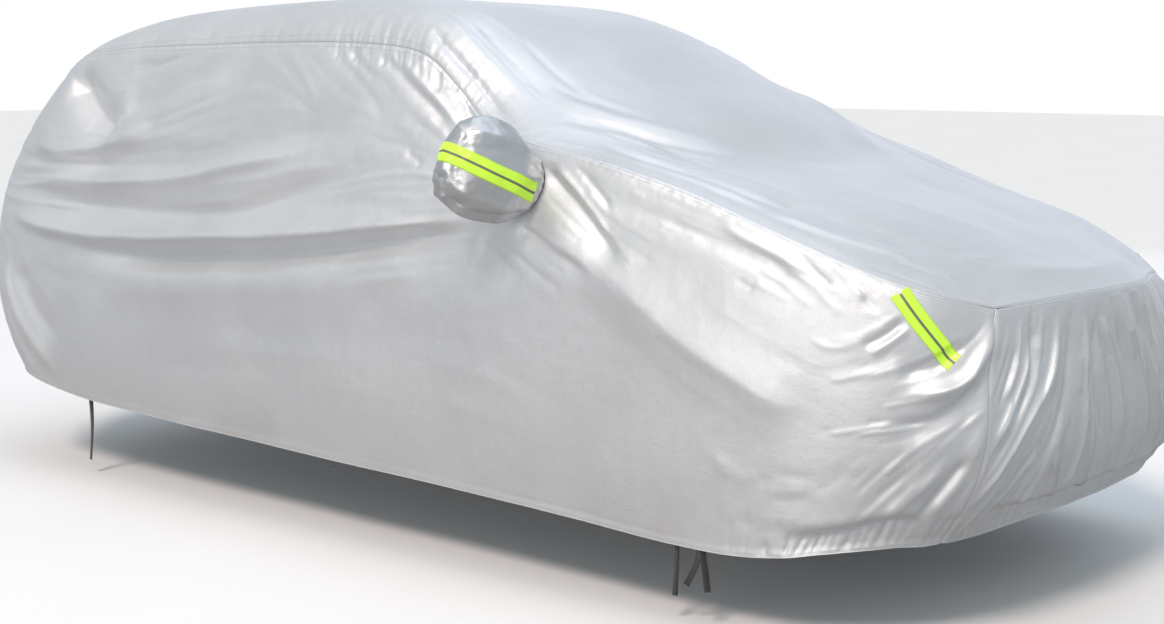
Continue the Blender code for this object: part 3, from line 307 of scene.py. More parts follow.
LEFT_CREASES = (
    (((-2.90, 1.13), (-2.20, 1.15), (-1.60, 1.21), (-1.10, 1.25)), -24, 56, 36),
    (((-3.05, 1.02), (-2.50, 1.07), (-1.90, 1.10), (-1.40, 1.17)), 22, 40, 26),
    (((-3.00, 0.97), (-2.40, 0.98), (-1.80, 1.00), (-1.20, 1.09)), -24, 36, 52),
    (((-3.08, 0.91), (-2.60, 0.88), (-1.90, 0.91), (-1.30, 0.97), (-0.75, 1.05)), 30, 46, 22),
    (((-2.80, 0.81), (-2.10, 0.83), (-1.40, 0.89), (-0.80, 0.97)), -24, 24, 42),
    (((-2.50, 0.74), (-1.80, 0.76), (-1.10, 0.84)), 16, 54, 60),
    (((-2.80, 1.41), (-2.62, 1.34), (-2.52, 1.27)), -34, 34, 48),
    (((-2.48, 1.36), (-2.24, 1.40), (-2.02, 1.44)), -24, 60, 50),
    (((-2.46, 1.25), (-2.20, 1.33), (-1.98, 1.40)), 18, 28, 32),
    (((-3.03, 1.22), (-2.80, 1.18), (-2.52, 1.20), (-2.26, 1.28)), 22, 44, 30),
    (((-1.30, 1.44), (-1.16, 1.38), (-1.00, 1.31)), -13, 18, 28),
    (((-1.20, 1.47), (-1.05, 1.38), (-0.93, 1.30)), 9, 16, 14),
    (((-0.42, 1.12), (-0.30, 1.03), (-0.14, 0.90)), -22, 24, 38),
    (((-0.38, 1.16), (-0.26, 1.08), (-0.12, 0.98)), 11, 14, 16),
    (((-0.66, 0.95), (-0.58, 0.88), (-0.60, 0.76)), -14, 30, 40),
    (((-0.48, 1.01), (-0.14, 0.87), (0.18, 0.71), (0.40, 0.62)), 24, 54, 62),
    (((-0.24, 1.06), (0.08, 1.00), (0.42, 0.88)), -15, 24, 32),
    (((0.20, 1.00), (0.34, 0.94), (0.48, 0.86)), 9, 14, 13),
    (((0.40, 0.97), (0.47, 0.92), (0.53, 0.87)), -8, 10, 11),
    (((0.71, 0.84), (0.735, 0.77), (0.715, 0.72), (0.60, 0.68)), 28, 20, 26),
    (((0.68, 0.80), (0.64, 0.75), (0.56, 0.73)), -16, 26, 18),
    (((0.765, 0.76), (0.74, 0.67), (0.56, 0.61)), -18, 22, 40),
    (((0.78, 0.58), (0.73, 0.46), (0.64, 0.35)), 18, 20, 24),
    (((0.74, 0.50), (0.66, 0.42), (0.60, 0.35)), -12, 16, 18),
    (((-3.14, 0.78), (-3.06, 0.60), (-2.84, 0.36)), 18, 44, 36),
    (((-3.02, 0.70), (-2.92, 0.56), (-2.78, 0.44)), -12, 44, 40),
)
# Nose: (distance across, height) paths.
NOSE_CREASES = (
    (((-0.34, 0.865), (-0.39, 0.73), (-0.43, 0.66), (-0.52, 0.56), (-0.58, 0.45), (-0.62, 0.35)),
     20, 10, 12),
    (((-0.45, 0.85), (-0.48, 0.70), (-0.56, 0.58)), -16, 14, 16),
    (((-0.50, 0.86), (-0.53, 0.74), (-0.58, 0.64)), 8, 10, 8),
    (((-0.30, 0.85), (-0.32, 0.66), (-0.39, 0.50), (-0.47, 0.33)), -17, 16, 14),
    (((-0.42, 0.52), (-0.48, 0.43), (-0.53, 0.34)), 7, 8, 8),
    (((-0.23, 0.86), (-0.24, 0.66), (-0.22, 0.46), (-0.24, 0.33)), 16, 10, 11),
    (((-0.36, 0.48), (-0.29, 0.40), (-0.24, 0.29)), 11, 8, 8),
    (((-0.19, 0.84), (-0.18, 0.66), (-0.15, 0.52)), -14, 12, 13),
    (((-0.20, 0.60), (-0.14, 0.42), (-0.09, 0.30)), 11, 8, 8),
    (((-0.16, 0.84), (-0.09, 0.70), (-0.04, 0.58), (0.01, 0.45)), 16, 9, 10),
    (((-0.08, 0.84), (-0.01, 0.68), (0.04, 0.50), (0.05, 0.36)), -14, 12, 12),
    (((-0.02, 0.84), (0.06, 0.68), (0.15, 0.52), (0.19, 0.40)), 14, 10, 10),
    (((0.05, 0.84), (0.14, 0.66), (0.22, 0.46)), -12, 12, 12),
    (((0.07, 0.80), (0.16, 0.64), (0.25, 0.50), (0.31, 0.36)), 14, 10, 10),
    (((0.18, 0.84), (0.28, 0.66), (0.37, 0.46)), -12, 13, 13),
    (((0.25, 0.85), (0.34, 0.68), (0.42, 0.50), (0.47, 0.35)), 14, 11, 11),
    (((0.35, 0.84), (0.45, 0.64), (0.54, 0.44)), -13, 13, 13),
    (((0.43, 0.85), (0.51, 0.68), (0.58, 0.48)), 14, 11, 12),
    (((0.52, 0.85), (0.56, 0.72), (0.61, 0.60)), -7, 10, 10),
)
TAIL_CREASES = (
    (((0.45, 1.32), (0.34, 0.95), (0.50, 0.58)), 22, 60, 70),
    (((0.24, 1.34), (0.18, 1.00), (0.26, 0.62)), -18, 60, 70),
    (((0.02, 1.38), (-0.05, 1.00), (0.00, 0.58)), 17, 70, 80),
    (((-0.22, 1.32), (-0.20, 1.00), (-0.30, 0.62)), -19, 70, 60),
    (((-0.44, 1.32), (-0.36, 0.95), (-0.52, 0.56)), 22, 70, 60),
    (((-0.50, 0.54), (0.00, 0.60), (0.50, 0.55)), -14, 50, 60),
    (((-0.60, 1.20), (-0.20, 1.12), (0.25, 1.18), (0.62, 1.10)), -10, 40, 50),
    (((-0.66, 0.98), (-0.30, 0.92), (0.10, 0.96)), 9, 30, 34),
    (((0.66, 0.90), (0.34, 0.82), (0.05, 0.84)), 9, 30, 30),
)
# Top panel: (x, distance across) paths; "above" is the flank towards the left.
TOP_CREASES = (
    (((-1.15, -0.61), (-0.97, -0.64), (-0.83, -0.655), (-0.63, -0.69)), 5, 30, 30),
    (((-1.12, -0.66), (-1.02, -0.695), (-0.86, -0.715), (-0.72, -0.75)), -10, 14, 12),
    (((-1.05, -0.57), (-0.88, -0.60), (-0.72, -0.62), (-0.56, -0.67)), -4, 18, 16),
    (((-1.08, 0.61), (-0.86, 0.65), (-0.62, 0.69)), 13, 26, 36),
    (((-1.04, 0.56), (-0.84, 0.60), (-0.64, 0.63)), -8, 18, 18),
    (((-0.69, -0.64), (-0.45, -0.56), (-0.26, -0.42), (-0.02, -0.27)), 12, 40, 46),
    (((-0.57, -0.69), (-0.46, -0.63), (-0.33, -0.55), (-0.16, -0.42)), -8, 22, 18),
    (((-0.39, -0.60), (-0.12, -0.56), (0.06, -0.55), (0.20, -0.55)), -10, 26, 24),
    (((-0.44, -0.72), (-0.14, -0.70), (0.12, -0.70), (0.26, -0.66)), -9, 18, 16),
    (((-0.30, -0.76), (-0.02, -0.76), (0.20, -0.74)), 6, 16, 14),
    (((-0.66, 0.60), (-0.40, 0.52), (-0.14, 0.36)), 10, 50, 50),
    (((-0.50, 0.70), (-0.16, 0.66), (0.14, 0.62)), -9, 22, 24),
    (((-0.25, -0.45), (-0.08, 0.00), (-0.25, 0.45)), -12, 90, 90),
    (((0.12, -0.66), (0.34, -0.62), (0.58, -0.52)), -11, 60, 50),
    (((0.20, -0.755), (0.40, -0.71), (0.58, -0.60)), 8, 20, 16),
    (((0.05, 0.66), (0.30, 0.62), (0.58, 0.52)), -9, 70, 70),
    (((0.70, -0.42), (0.77, 0.00), (0.70, 0.42)), 9, 40, 40),
    (((0.05, -0.30), (0.35, -0.24), (0.62, -0.15)), 5, 40, 60),
    (((0.00, 0.20), (0.30, 0.16), (0.60, 0.10)), -5, 70, 60),
    (((-2.90, -0.50), (-2.60, -0.40), (-2.20, -0.44)), -6, 60, 60),
    (((-2.80, 0.30), (-2.40, 0.36), (-2.00, 0.30)), -5, 80, 80),
    (((-1.90, -0.52), (-1.60, -0.56), (-1.25, -0.52)), 5, 40, 50),
)
PATH_STEPS = 5           # straight pieces between two points of a path
FLOW_REACH = 0.04        # distance over which a fold's way is felt evenly
FLOW_STEP = 0.03         # length of one step along the folds


def smooth_path(path, steps=PATH_STEPS):
    """Points of a smooth curve through the path's points."""
    path = np.asarray(path, dtype=float)
    ends = np.vstack([2 * path[0] - path[1], path, 2 * path[-1] - path[-2]])
    parts = np.arange(steps) / steps
    spots = [curve_point(ends[k], ends[k + 1], ends[k + 2], ends[k + 3], parts[:, None])
             for k in range(len(path) - 1)]
    return np.vstack(spots + [path[-1:]])


def crease(points, height, above, below, up, sharp=CRISP):
    """A crease in metres along points in the car's frame."""
    return Crease(points, height, above, below, np.asarray(up, dtype=float), sharp)


def table_creases(table, locate, up):
    """Creases of a table, on the plain surface that locate finds places on."""
    made = []
    for path, height, above, below in table:
        spots = smooth_path(path)
        made.append(crease(locate(spots[:, 0], spots[:, 1]), height * MM, above * MM,
                           below * MM, up, SOFT))
    return made


class Flow:
    """The way that the folds of a table run, at any place between them."""

    def __init__(self, table):
        lines = [smooth_path(row[0]) for row in table]
        steps = np.vstack([np.diff(line, axis=0) for line in lines])
        self.middle = np.vstack([(line[1:] + line[:-1]) / 2 for line in lines])
        self.long = np.linalg.norm(steps, axis=1)
        self.angle = 2 * np.arctan2(steps[:, 1], steps[:, 0])

    def way(self, place):
        """Unit vector along the folds near a place."""
        apart = ((self.middle - place) ** 2).sum(axis=1)
        near = self.long / (apart + FLOW_REACH ** 2) ** 1.5
        angle = math.atan2((near * np.sin(self.angle)).sum(), (near * np.cos(self.angle)).sum()) / 2
        return np.array([math.cos(angle), math.sin(angle)])

    def line(self, start, length, step=FLOW_STEP):
        """A line along the folds through start."""
        halves = []
        for sign in (-1, 1):
            place, ahead = np.array(start, dtype=float), None
            half = []
            for _ in range(max(1, int(round(length / 2 / step)))):
                way = self.way(place)
                way = way * sign if ahead is None else way * math.copysign(1, way @ ahead)
                ahead = way
                place = place + way * step
                half.append(place)
            halves.append(half)
        return np.array(halves[0][::-1] + [np.array(start, dtype=float)] + halves[1])


def jitter(rng, centre, share):
    """A random value that departs from the centre by up to a share of it."""
    return centre * (1 + share * (2 * rng.random() - 1))


# Families of fine creases: area (x or distance across, then height), how many, their lengths
# and half widths in metres, and how far they stand out in millimetres.
Family = namedtuple("Family", "low high count length width height")
SIDE_FAMILIES = (
    Family((-3.10, 0.86), (-2.00, 1.20), 34, (0.20, 0.90), (0.008, 0.015), 3.2),
    Family((-2.10, 0.84), (-0.75, 1.16), 30, (0.25, 0.90), (0.008, 0.016), 2.8),
    Family((-3.05, 1.18), (-2.10, 1.48), 26, (0.12, 0.45), (0.008, 0.014), 3.4),
    Family((-2.20, 1.20), (-0.95, 1.50), 26, (0.15, 0.50), (0.009, 0.016), 1.8),
    Family((-1.30, 1.00), (-0.64, 1.30), 14, (0.10, 0.35), (0.008, 0.014), 2.2),
    Family((-0.50, 0.90), (-0.12, 1.20), 18, (0.08, 0.26), (0.006, 0.010), 2.6),
    Family((-0.20, 1.02), (0.30, 1.20), 34, (0.08, 0.30), (0.005, 0.008), 1.9),
    Family((0.22, 0.88), (0.60, 1.04), 34, (0.05, 0.16), (0.005, 0.008), 1.9),
    Family((-0.10, 0.62), (0.50, 0.90), 8, (0.20, 0.55), (0.020, 0.034), 1.2),
    Family((0.52, 0.38), (0.80, 0.84), 44, (0.07, 0.24), (0.005, 0.010), 3.2),
    Family((0.20, 0.28), (0.70, 0.50), 16, (0.06, 0.18), (0.008, 0.014), 2.4),
    Family((-3.20, 0.40), (-2.75, 0.85), 16, (0.12, 0.40), (0.009, 0.018), 3.0),
    Family((-2.70, 0.40), (-0.20, 0.76), 18, (0.30, 0.90), (0.020, 0.045), 1.6),
)
NOSE_FAMILIES = (
    Family((-0.62, 0.34), (0.62, 0.86), 170, (0.10, 0.42), (0.006, 0.010), 4.4),
    Family((-0.60, 0.78), (0.60, 0.87), 30, (0.04, 0.12), (0.006, 0.010), 2.6),
)
TAIL_FAMILIES = (
    Family((-0.66, 0.44), (0.66, 0.80), 30, (0.10, 0.40), (0.009, 0.018), 3.4),
    Family((-0.62, 0.80), (0.62, 1.40), 40, (0.20, 0.70), (0.012, 0.028), 3.0),
)
TOP_FAMILIES = (
    Family((-1.15, -0.74), (-0.55, -0.50), 24, (0.10, 0.34), (0.008, 0.014), 2.4),
    Family((-1.15, 0.50), (-0.55, 0.74), 20, (0.10, 0.34), (0.008, 0.014), 2.4),
    Family((-0.50, -0.80), (0.30, -0.46), 30, (0.12, 0.40), (0.009, 0.016), 2.2),
    Family((-0.50, 0.46), (0.30, 0.80), 26, (0.12, 0.40), (0.009, 0.016), 2.2),
    Family((0.20, -0.72), (0.70, -0.36), 22, (0.08, 0.30), (0.008, 0.015), 2.2),
    Family((0.20, 0.36), (0.70, 0.72), 22, (0.08, 0.30), (0.008, 0.015), 2.2),
    Family((-0.60, -0.40), (0.60, 0.40), 10, (0.30, 0.80), (0.025, 0.045), 0.8),
    Family((-2.90, -0.60), (-1.20, 0.60), 18, (0.30, 0.90), (0.022, 0.045), 1.4),
)


HEIGHT_SPREAD = 0.5      # how far the heights and the widths of fine creases vary
WIDTH_SPREAD = 0.35


def family_creases(families, table, locate, up, area, rng):
    """Fine creases that run along the folds of a table, kept within an area of places."""
    flow = Flow(table)
    made = []
    for family in families:
        for _ in range(family.count):
            start = [rng.uniform(a, b) for a, b in zip(family.low, family.high)]
            line = flow.line(start, rng.uniform(*family.length))
            line = np.clip(line, *area)
            wide = rng.uniform(*family.width)
            sign = 1 if rng.random() < 0.5 else -1
            made.append(crease(locate(line[:, 0], line[:, 1]),
                               sign * jitter(rng, family.height * MM, HEIGHT_SPREAD), wide,
                               jitter(rng, wide, WIDTH_SPREAD), up))
    return made


GATHER_RUN = (0.5, 12.6)             # stations between which the roof seam has gathers
STRONG_RUN, FAINT = (4.4, 7.6), 0.45         # where they are strong, and how faint elsewhere
GATHER_STEP = (0.055, 0.105)         # stations from one gather to the next
GATHER_UP = (0.05, 0.11)             # how far they reach onto the top, in shares of its width
GATHER_DOWN = (0.02, 0.07)           # how far they reach down the side, in shares of its height
GATHER_LEAN = (-0.22, -0.04)
GATHER_HEIGHT, GATHER_WIDTHS = -4.2, (0.009, 0.010)


def gather_creases(side, rng):
    """Small gathers across the roof seam; the seam takes up the side cloth's fullness."""
    made = []
    station = GATHER_RUN[0]
    while station < GATHER_RUN[1]:
        strong = 1.0 if STRONG_RUN[0] < station < STRONG_RUN[1] else FAINT
        station += rng.uniform(*GATHER_STEP)
        up = rng.uniform(*GATHER_UP) * (0.6 + 0.6 * strong)
        down = rng.uniform(*GATHER_DOWN) * strong
        lean = rng.uniform(*GATHER_LEAN) * strong
        top = top_points(np.array([station + lean, station]),
                         side * (1 - np.array([up * 1.4, 0.0])))
        wall = side_points(np.array([station - lean * 0.5, station - lean]),
                           1 - np.array([down * 0.5, down]), side)
        made.append(crease(smooth_path(np.vstack([top, wall]), 3),
                           jitter(rng, GATHER_HEIGHT * MM, 0.4) * strong, *GATHER_WIDTHS,
                           (1, 0, 0)))
    return made


RUFFLE_WIDTH = 0.008
# Ruffles of the side hems: first and last station, step, and whether they grow forwards.
SIDE_RUFFLES = ((11.5, 15.0, 0.115, True), (0.0, 0.9, 0.10, False))
RUFFLE_HEIGHT = 5.0                  # in mm
TAIL_CORNER_SHARE = 0.7              # share of that height at the tail's corners
RUFFLE_GROWTH = (11.2, 1.6)          # station where the growth starts, and stations it takes
# Ruffles of the end hems: rows, station, pitch in half widths and height in mm.
END_RUFFLES = ((NOSE_ROWS, LAST, 0.048, 5.5), (TAIL_ROWS, 0, 0.06, 4.5))


def hem_creases(rng):
    """Ruffles above the elastic of the nose and tail hems and round the front corners."""
    made = []

    def ruffle(foot, head, height, up):
        path = np.vstack([foot, (foot + head) / 2, head])
        path[1] += rng.uniform(-0.004, 0.004, 3)
        made.append(crease(smooth_path(path, 3), height, RUFFLE_WIDTH,
                           jitter(rng, RUFFLE_WIDTH, 0.3), up))

    for side in SIDES:
        for start, stop, step, growing in SIDE_RUFFLES:
            station = start
            while station < stop:
                tall = rng.uniform(0.05, 0.16)
                lean = rng.uniform(-0.08, 0.08)
                feet = side_points(np.array([station, station + lean]), np.array([0.0, tall]),
                                   side)
                grown = TAIL_CORNER_SHARE
                if growing:
                    grown = smooth((station - RUFFLE_GROWTH[0]) / RUFFLE_GROWTH[1])
                ruffle(feet[:1], feet[1:], -jitter(rng, RUFFLE_HEIGHT * MM, 0.4) * grown,
                       (1, 0, 0))
                station += step * rng.uniform(0.8, 1.25)
    for table, station, pitch, height in END_RUFFLES:
        across = -1.0
        while across < 1.0:
            tall = rng.uniform(0.06, 0.22)
            lean = rng.uniform(-0.03, 0.03)
            feet = end_points(table, station, np.array([across, across + lean]),
                              np.array([0.0, tall]))
            ruffle(feet[:1], feet[1:], -jitter(rng, height * MM, 0.4), (0, 1, 0))
            across += pitch * rng.uniform(0.8, 1.25)
    return made


PILLAR_LINES = 13
# Path of the first line (x, distance across) and the steps from one line to the next.
PILLAR_PATH = np.array([(-1.22, 0.560), (-0.98, 0.615), (-0.80, 0.634), (-0.60, 0.680)])
PILLAR_STEPS = np.array([(0.020, 0.012), (0.012, 0.0105), (0.007, 0.011), (0.003, 0.011)])
PILLAR_HEIGHT, PILLAR_WIDTHS = 3.6, (0.0065, 0.0075)


def pillar_creases(rng):
    """The bundle of gathers beside each windscreen pillar, which runs down to the pocket."""
    made = []
    for side in SIDES:
        for k in range(PILLAR_LINES):
            path = PILLAR_PATH + PILLAR_STEPS * k
            path += rng.uniform(-0.004, 0.004, path.shape)
            spots = smooth_path(path, 4)
            made.append(crease(top_at(spots[:, 0], side * spots[:, 1]),
                               (1 if k % 2 else -1) * jitter(rng, PILLAR_HEIGHT * MM, 0.4),
                               *PILLAR_WIDTHS, (0, 1, 0)))
    return made


# Step at the nose's foot: (y, height) on the nose, (x, height) on the sides.
TUCK_NOSE = smooth_path([(-0.60, 0.345), (-0.30, 0.325), (0.0, 0.33), (0.30, 0.325), (0.60, 0.345)])
TUCK_SIDE = smooth_path([(0.34, 0.275), (0.48, 0.30), (0.58, 0.335), (0.67, 0.345)])
# How far above that path, height in mm, widths above and below.
TUCK_LINES = ((0.0, -28, 0.014, 0.080), (0.022, 8, 0.02, 0.014))
TUCK_SIDE_SHARE = 0.9


def tuck_creases():
    """The foot of the nose cloth turns under in a soft step above the elastic."""
    made = []
    for lift, height, above, below in TUCK_LINES:
        spots = end_at(NOSE_ROWS, LAST, TUCK_NOSE[:, 0], TUCK_NOSE[:, 1] + lift)
        made.append(crease(spots, height * MM, above, below, (0, 0, 1)))
        for side in SIDES:
            spots = side_at(TUCK_SIDE[:, 0], TUCK_SIDE[:, 1] + lift, side)
            made.append(crease(spots, height * MM * TUCK_SIDE_SHARE, above, below, (0, 0, 1)))
    return made


# Lowest and highest places that creases of each panel may reach.
SIDE_AREA = ((-3.22, 0.28), (0.80, 1.54))
NOSE_AREA = ((-0.62, 0.30), (0.62, 0.87))
TAIL_AREA = ((-0.66, 0.43), (0.66, 1.46))
TOP_AREA = ((-3.0, -0.84), (0.8, 0.84))
CREASE_SEED = 11


def all_creases(depth):
    """Creases that fade towards the seams, and gathers that cross them."""
    rng = np.random.default_rng(CREASE_SEED)
    high, across = (0, 0, 1), (0, 1, 0)
    panels = (
        (RIGHT_CREASES, SIDE_FAMILIES, lambda x, z: side_at(x, z, -1), high, SIDE_AREA),
        (LEFT_CREASES, SIDE_FAMILIES, lambda x, z: side_at(x, z, 1), high, SIDE_AREA),
        (NOSE_CREASES, NOSE_FAMILIES, lambda y, z: end_at(NOSE_ROWS, LAST, y, z), across,
         NOSE_AREA),
        (TAIL_CREASES, TAIL_FAMILIES, lambda y, z: end_at(TAIL_ROWS, 0, y, z), across, TAIL_AREA),
        (TOP_CREASES, TOP_FAMILIES, top_at, across, TOP_AREA),
    )
    made = tuck_creases()
    for table, families, locate, up, area in panels:
        made += table_creases(table, locate, up)
        made += family_creases(families, table, locate, up, area, rng)
    gathers = hem_creases(rng) + pillar_creases(rng)
    for side in SIDES:
        gathers += gather_creases(side, rng)
    return ([c._replace(height=c.height * depth) for c in made],
            [c._replace(height=c.height * depth) for c in gathers])


# ---------------------------------------------------------------- unevenness of the cloth

AXIS_PRIMES = (73856093, 19349663, 83492791)
SEED_PRIME = 2654435761
MIXES = ((15, 2246822519), (13, 3266489917))
LATTICE_START = 500.0    # keeps the cells' numbers above zero


def lattice(cells, seed):
    """Repeatable numbers from 0 to 1 on the corners of a grid of cells."""
    x, y, z = (cells[..., k] * prime for k, prime in enumerate(AXIS_PRIMES))
    mixed = ((x ^ y ^ z) + seed * SEED_PRIME) & 0xFFFFFFFF
    for shift, prime in MIXES:
        mixed = ((mixed ^ (mixed >> shift)) * prime) & 0xFFFFFFFF
    return ((mixed ^ (mixed >> 16)) & 0xFFFF) / 65535.0


def uneven(points, size, seed):
    """Smooth unevenness from -1 to 1 with hills about size apart."""
    at = points / size + LATTICE_START
    cell = np.floor(at).astype(np.int64)
    part = smooth(at - cell)
    total = 0.0
    for corner in range(8):
        step = np.array([corner & 1, corner >> 1 & 1, corner >> 2 & 1])
        weight = np.prod(np.where(step == 1, part, 1 - part), axis=-1)
        total = total + weight * lattice(cell + step, seed)
    return 2 * total - 1


CRUMPLE_SHARES = (1.0, 0.5, 0.25)


def crumple(points, size, seed):
    """Sharp little ridges between flat facets, as in a coated cloth that was folded."""
    total = 0.0
    for octave, share in enumerate(CRUMPLE_SHARES):
        rough = uneven(points, size / 2 ** octave, seed + octave)
        total = total + share * (1 - 2 * np.abs(rough))
    return total / sum(CRUMPLE_SHARES)


FADE = 0.22              # share of a crease's length over which it rises at each end
FAR = 2.6                # widths beyond which a crease isn't felt
WOBBLE, WOBBLE_SIZE = 0.005, 0.17            # how far creases wander, and over what distance
WOBBLE_SEEDS = (3, 5, 7)


def crease_height(points, creases):
    """How far the cloth stands out at the points, as the sum of all creases."""
    flat = points.reshape(-1, 3)
    wobble = np.stack([uneven(flat, WOBBLE_SIZE, seed) for seed in WOBBLE_SEEDS], axis=-1)
    warped = flat + WOBBLE * wobble
    total = np.zeros(len(flat))
    for path, height, above, below, up, sharp in creases:
        reach = FAR * max(above, below)
        near = np.all((warped > path.min(axis=0) - reach) & (warped < path.max(axis=0) + reach),
                      axis=1)
        index = np.flatnonzero(near)
        if len(index) == 0:
            continue
        spot = warped[index]
        best = np.full(len(index), np.inf)
        run = np.zeros(len(index))
        high = np.zeros(len(index))
        pieces = len(path) - 1
        for k in range(pieces):
            step = path[k + 1] - path[k]
            part = np.clip(((spot - path[k]) @ step) / max(step @ step, 1e-12), 0, 1)
            gap = spot - path[k] - part[:, None] * step
            distance = np.einsum("ij,ij->i", gap, gap)
            nearer = distance < best
            best = np.where(nearer, distance, best)
            run = np.where(nearer, (k + part) / pieces, run)
            high = np.where(nearer, gap @ up, high)
        distance = np.sqrt(best)
        wide = below + (above - below) * smooth(0.5 + high / (above + below))
        fade = smooth(run / FADE) * smooth((1 - run) / FADE)
        total[index] += height * fade * np.exp(-(distance / wide) ** sharp)
    return total.reshape(points.shape[:-1])


# Unevenness: height, distance between hills, seed. The first two are smooth, the last sharp.
BROAD_WAVES, SMALL_WAVES, CRUMPLES = (0.0035, 0.42, 21), (0.0015, 0.16, 23), (0.0009, 0.075, 31)
SEAM_HOLD, SEAM_REACH = 0.35, 0.06           # share of a crease left at a seam, and its reach
# Grooves of a seam: depth and half width.
SEAM_GROOVES = ((0.0030, 0.006), (0.0012, 0.02))


class Cloth:
    """The creases of the cover and the height that they give its surface."""

    def __init__(self, depth=1.0, crumpling=1.0):
        self.creases, self.gathers = all_creases(depth)
        self.crumpling = crumpling

    def height(self, base, seam):
        """Distance out of the plain surface; seam is the distance to the nearest seam."""
        hold = SEAM_HOLD + (1 - SEAM_HOLD) * smooth(seam / SEAM_REACH)
        high = crease_height(base, self.creases) * hold + crease_height(base, self.gathers)
        (broad, *broad_at), (small, *small_at), (sharp, *sharp_at) = (
            BROAD_WAVES, SMALL_WAVES, CRUMPLES)
        high = high + broad * uneven(base, *broad_at) * hold + small * uneven(base, *small_at)
        high = high + sharp * self.crumpling * crumple(base, *sharp_at) * hold
        for deep, wide in SEAM_GROOVES:
            high = high - deep * np.exp(-(seam / wide) ** 2)
        return high


END_SIZE, END_GROWTH = 0.003, 0.28           # size of the mesh at a seam, and how it grows
FINE_STEPS = 4001


def spaced(length, size_at):
    """Places from 0 to 1 along a length, at the wanted distances and closer at both ends."""
    run = np.linspace(0, length, FINE_STEPS)
    size = np.minimum(size_at(run), END_SIZE + END_GROWTH * np.minimum(run, length - run))
    count = np.concatenate([[0], np.cumsum(2 * np.diff(run) / (size[1:] + size[:-1]))])
    return np.interp(np.linspace(0, count[-1], int(round(count[-1])) + 1), count, run) / length


def halved(values):
    """The values along the first axis with their midpoints between them."""
    fine = np.repeat(values, 2, axis=0)[:-1]
    fine[1::2] = (values[1:] + values[:-1]) / 2
    return fine


def mesh_size(first, change, start, over):
    """A function for the size of the mesh, which changes over a stretch from start."""
    return lambda run: first + change * smooth((run - start) / over)


# The cloth is meshed more finely ahead of the roof's middle, above the doors' middle and
# beside the seams of the top.
SIDE_LENGTH, SIDE_HEIGHT, TOP_WIDTH = 4.75, 1.22, 1.48
ALONG_SIZE = mesh_size(0.0104, -0.0036, 1.75, 0.4)
UP_SIZE = mesh_size(0.0165, -0.0085, 0.42, 0.2)
INWARD_SIZE = mesh_size(0.0065, 0.0080, 0.20, 0.12)
STATIONS = spaced(SIDE_LENGTH, ALONG_SIZE) * LAST
SHARES = spaced(SIDE_HEIGHT, UP_SIZE)
ACROSS = 2 * spaced(TOP_WIDTH, lambda run: INWARD_SIZE(np.minimum(run, TOP_WIDTH - run))) - 1
BELT_SHARE = 0.45        # share of the side's height along which the stations are even


def unit(vectors):
    """The vectors at a length of 1."""
    return vectors / np.linalg.norm(vectors, axis=-1, keepdims=True)


def run_along(line):
    """Distances along a line of points."""
    return np.concatenate([[0], np.cumsum(np.linalg.norm(np.diff(line, axis=0), axis=1))])


def belt_stations():
    """The mesh's stations, as they are spaced along the belt of the side."""
    dense = np.linspace(0, LAST, 1501)
    run = run_along(side_points(dense, BELT_SHARE, -1))
    return np.interp(STATIONS / LAST, run / run[-1], dense)


def grid_normals(grid):
    """Unit normals of a grid of points."""
    return unit(np.cross(np.gradient(grid, axis=0), np.gradient(grid, axis=1)))


# Panels that share an edge. An edge is an axis of a panel's grid and an end of it.
SHARED_EDGES = (
    (("top", 1, 0), ("right", 1, -1)), (("top", 1, -1), ("left", 1, -1)),
    (("top", 0, -1), ("nose", 1, -1)), (("top", 0, 0), ("tail", 1, -1)),
    (("nose", 0, 0), ("right", 0, -1)), (("nose", 0, -1), ("left", 0, -1)),
    (("tail", 0, 0), ("right", 0, 0)), (("tail", 0, -1), ("left", 0, 0)),
)
OUTWARD = {"top": 1, "right": 1, "left": -1, "nose": 1, "tail": -1}
NORMAL_REACH = 0.09      # distance from a seam over which the normals turn to the shared ones
NO_SEAM = 9.0            # distance given where no seam is near


def seam_normals(normals):
    """Normals that two panels share along their seam, by panel and edge."""
    wanted = {key: {} for key in normals}
    for pair in SHARED_EDGES:
        shared = unit(sum(np.take(normals[key], end, axis=axis) for key, axis, end in pair))
        for key, axis, end in pair:
            wanted[key][axis, end] = shared.copy()
    return wanted


def upper_corners(grids):
    """Corners where three panels meet, each as those panels and the ends of their grids."""
    corners = {}
    for key, grid in grids.items():
        for ends in ((0, 0), (0, -1), (-1, 0), (-1, -1)):
            corners.setdefault(tuple(np.round(grid[ends], 4)), []).append((key, ends))
    return [places for places in corners.values() if len(places) == 3]


def join_corners(key, edges, corners, normals):
    """Set the ends of a panel's shared normals to those of all three panels of a corner."""
    for places in corners:
        whole = unit(sum(normals[panel][ends] for panel, ends in places))
        for panel, ends in places:
            for axis in (0, 1):
                if panel == key and (axis, ends[axis]) in edges:
                    edges[axis, ends[axis]][ends[1 - axis]] = whole


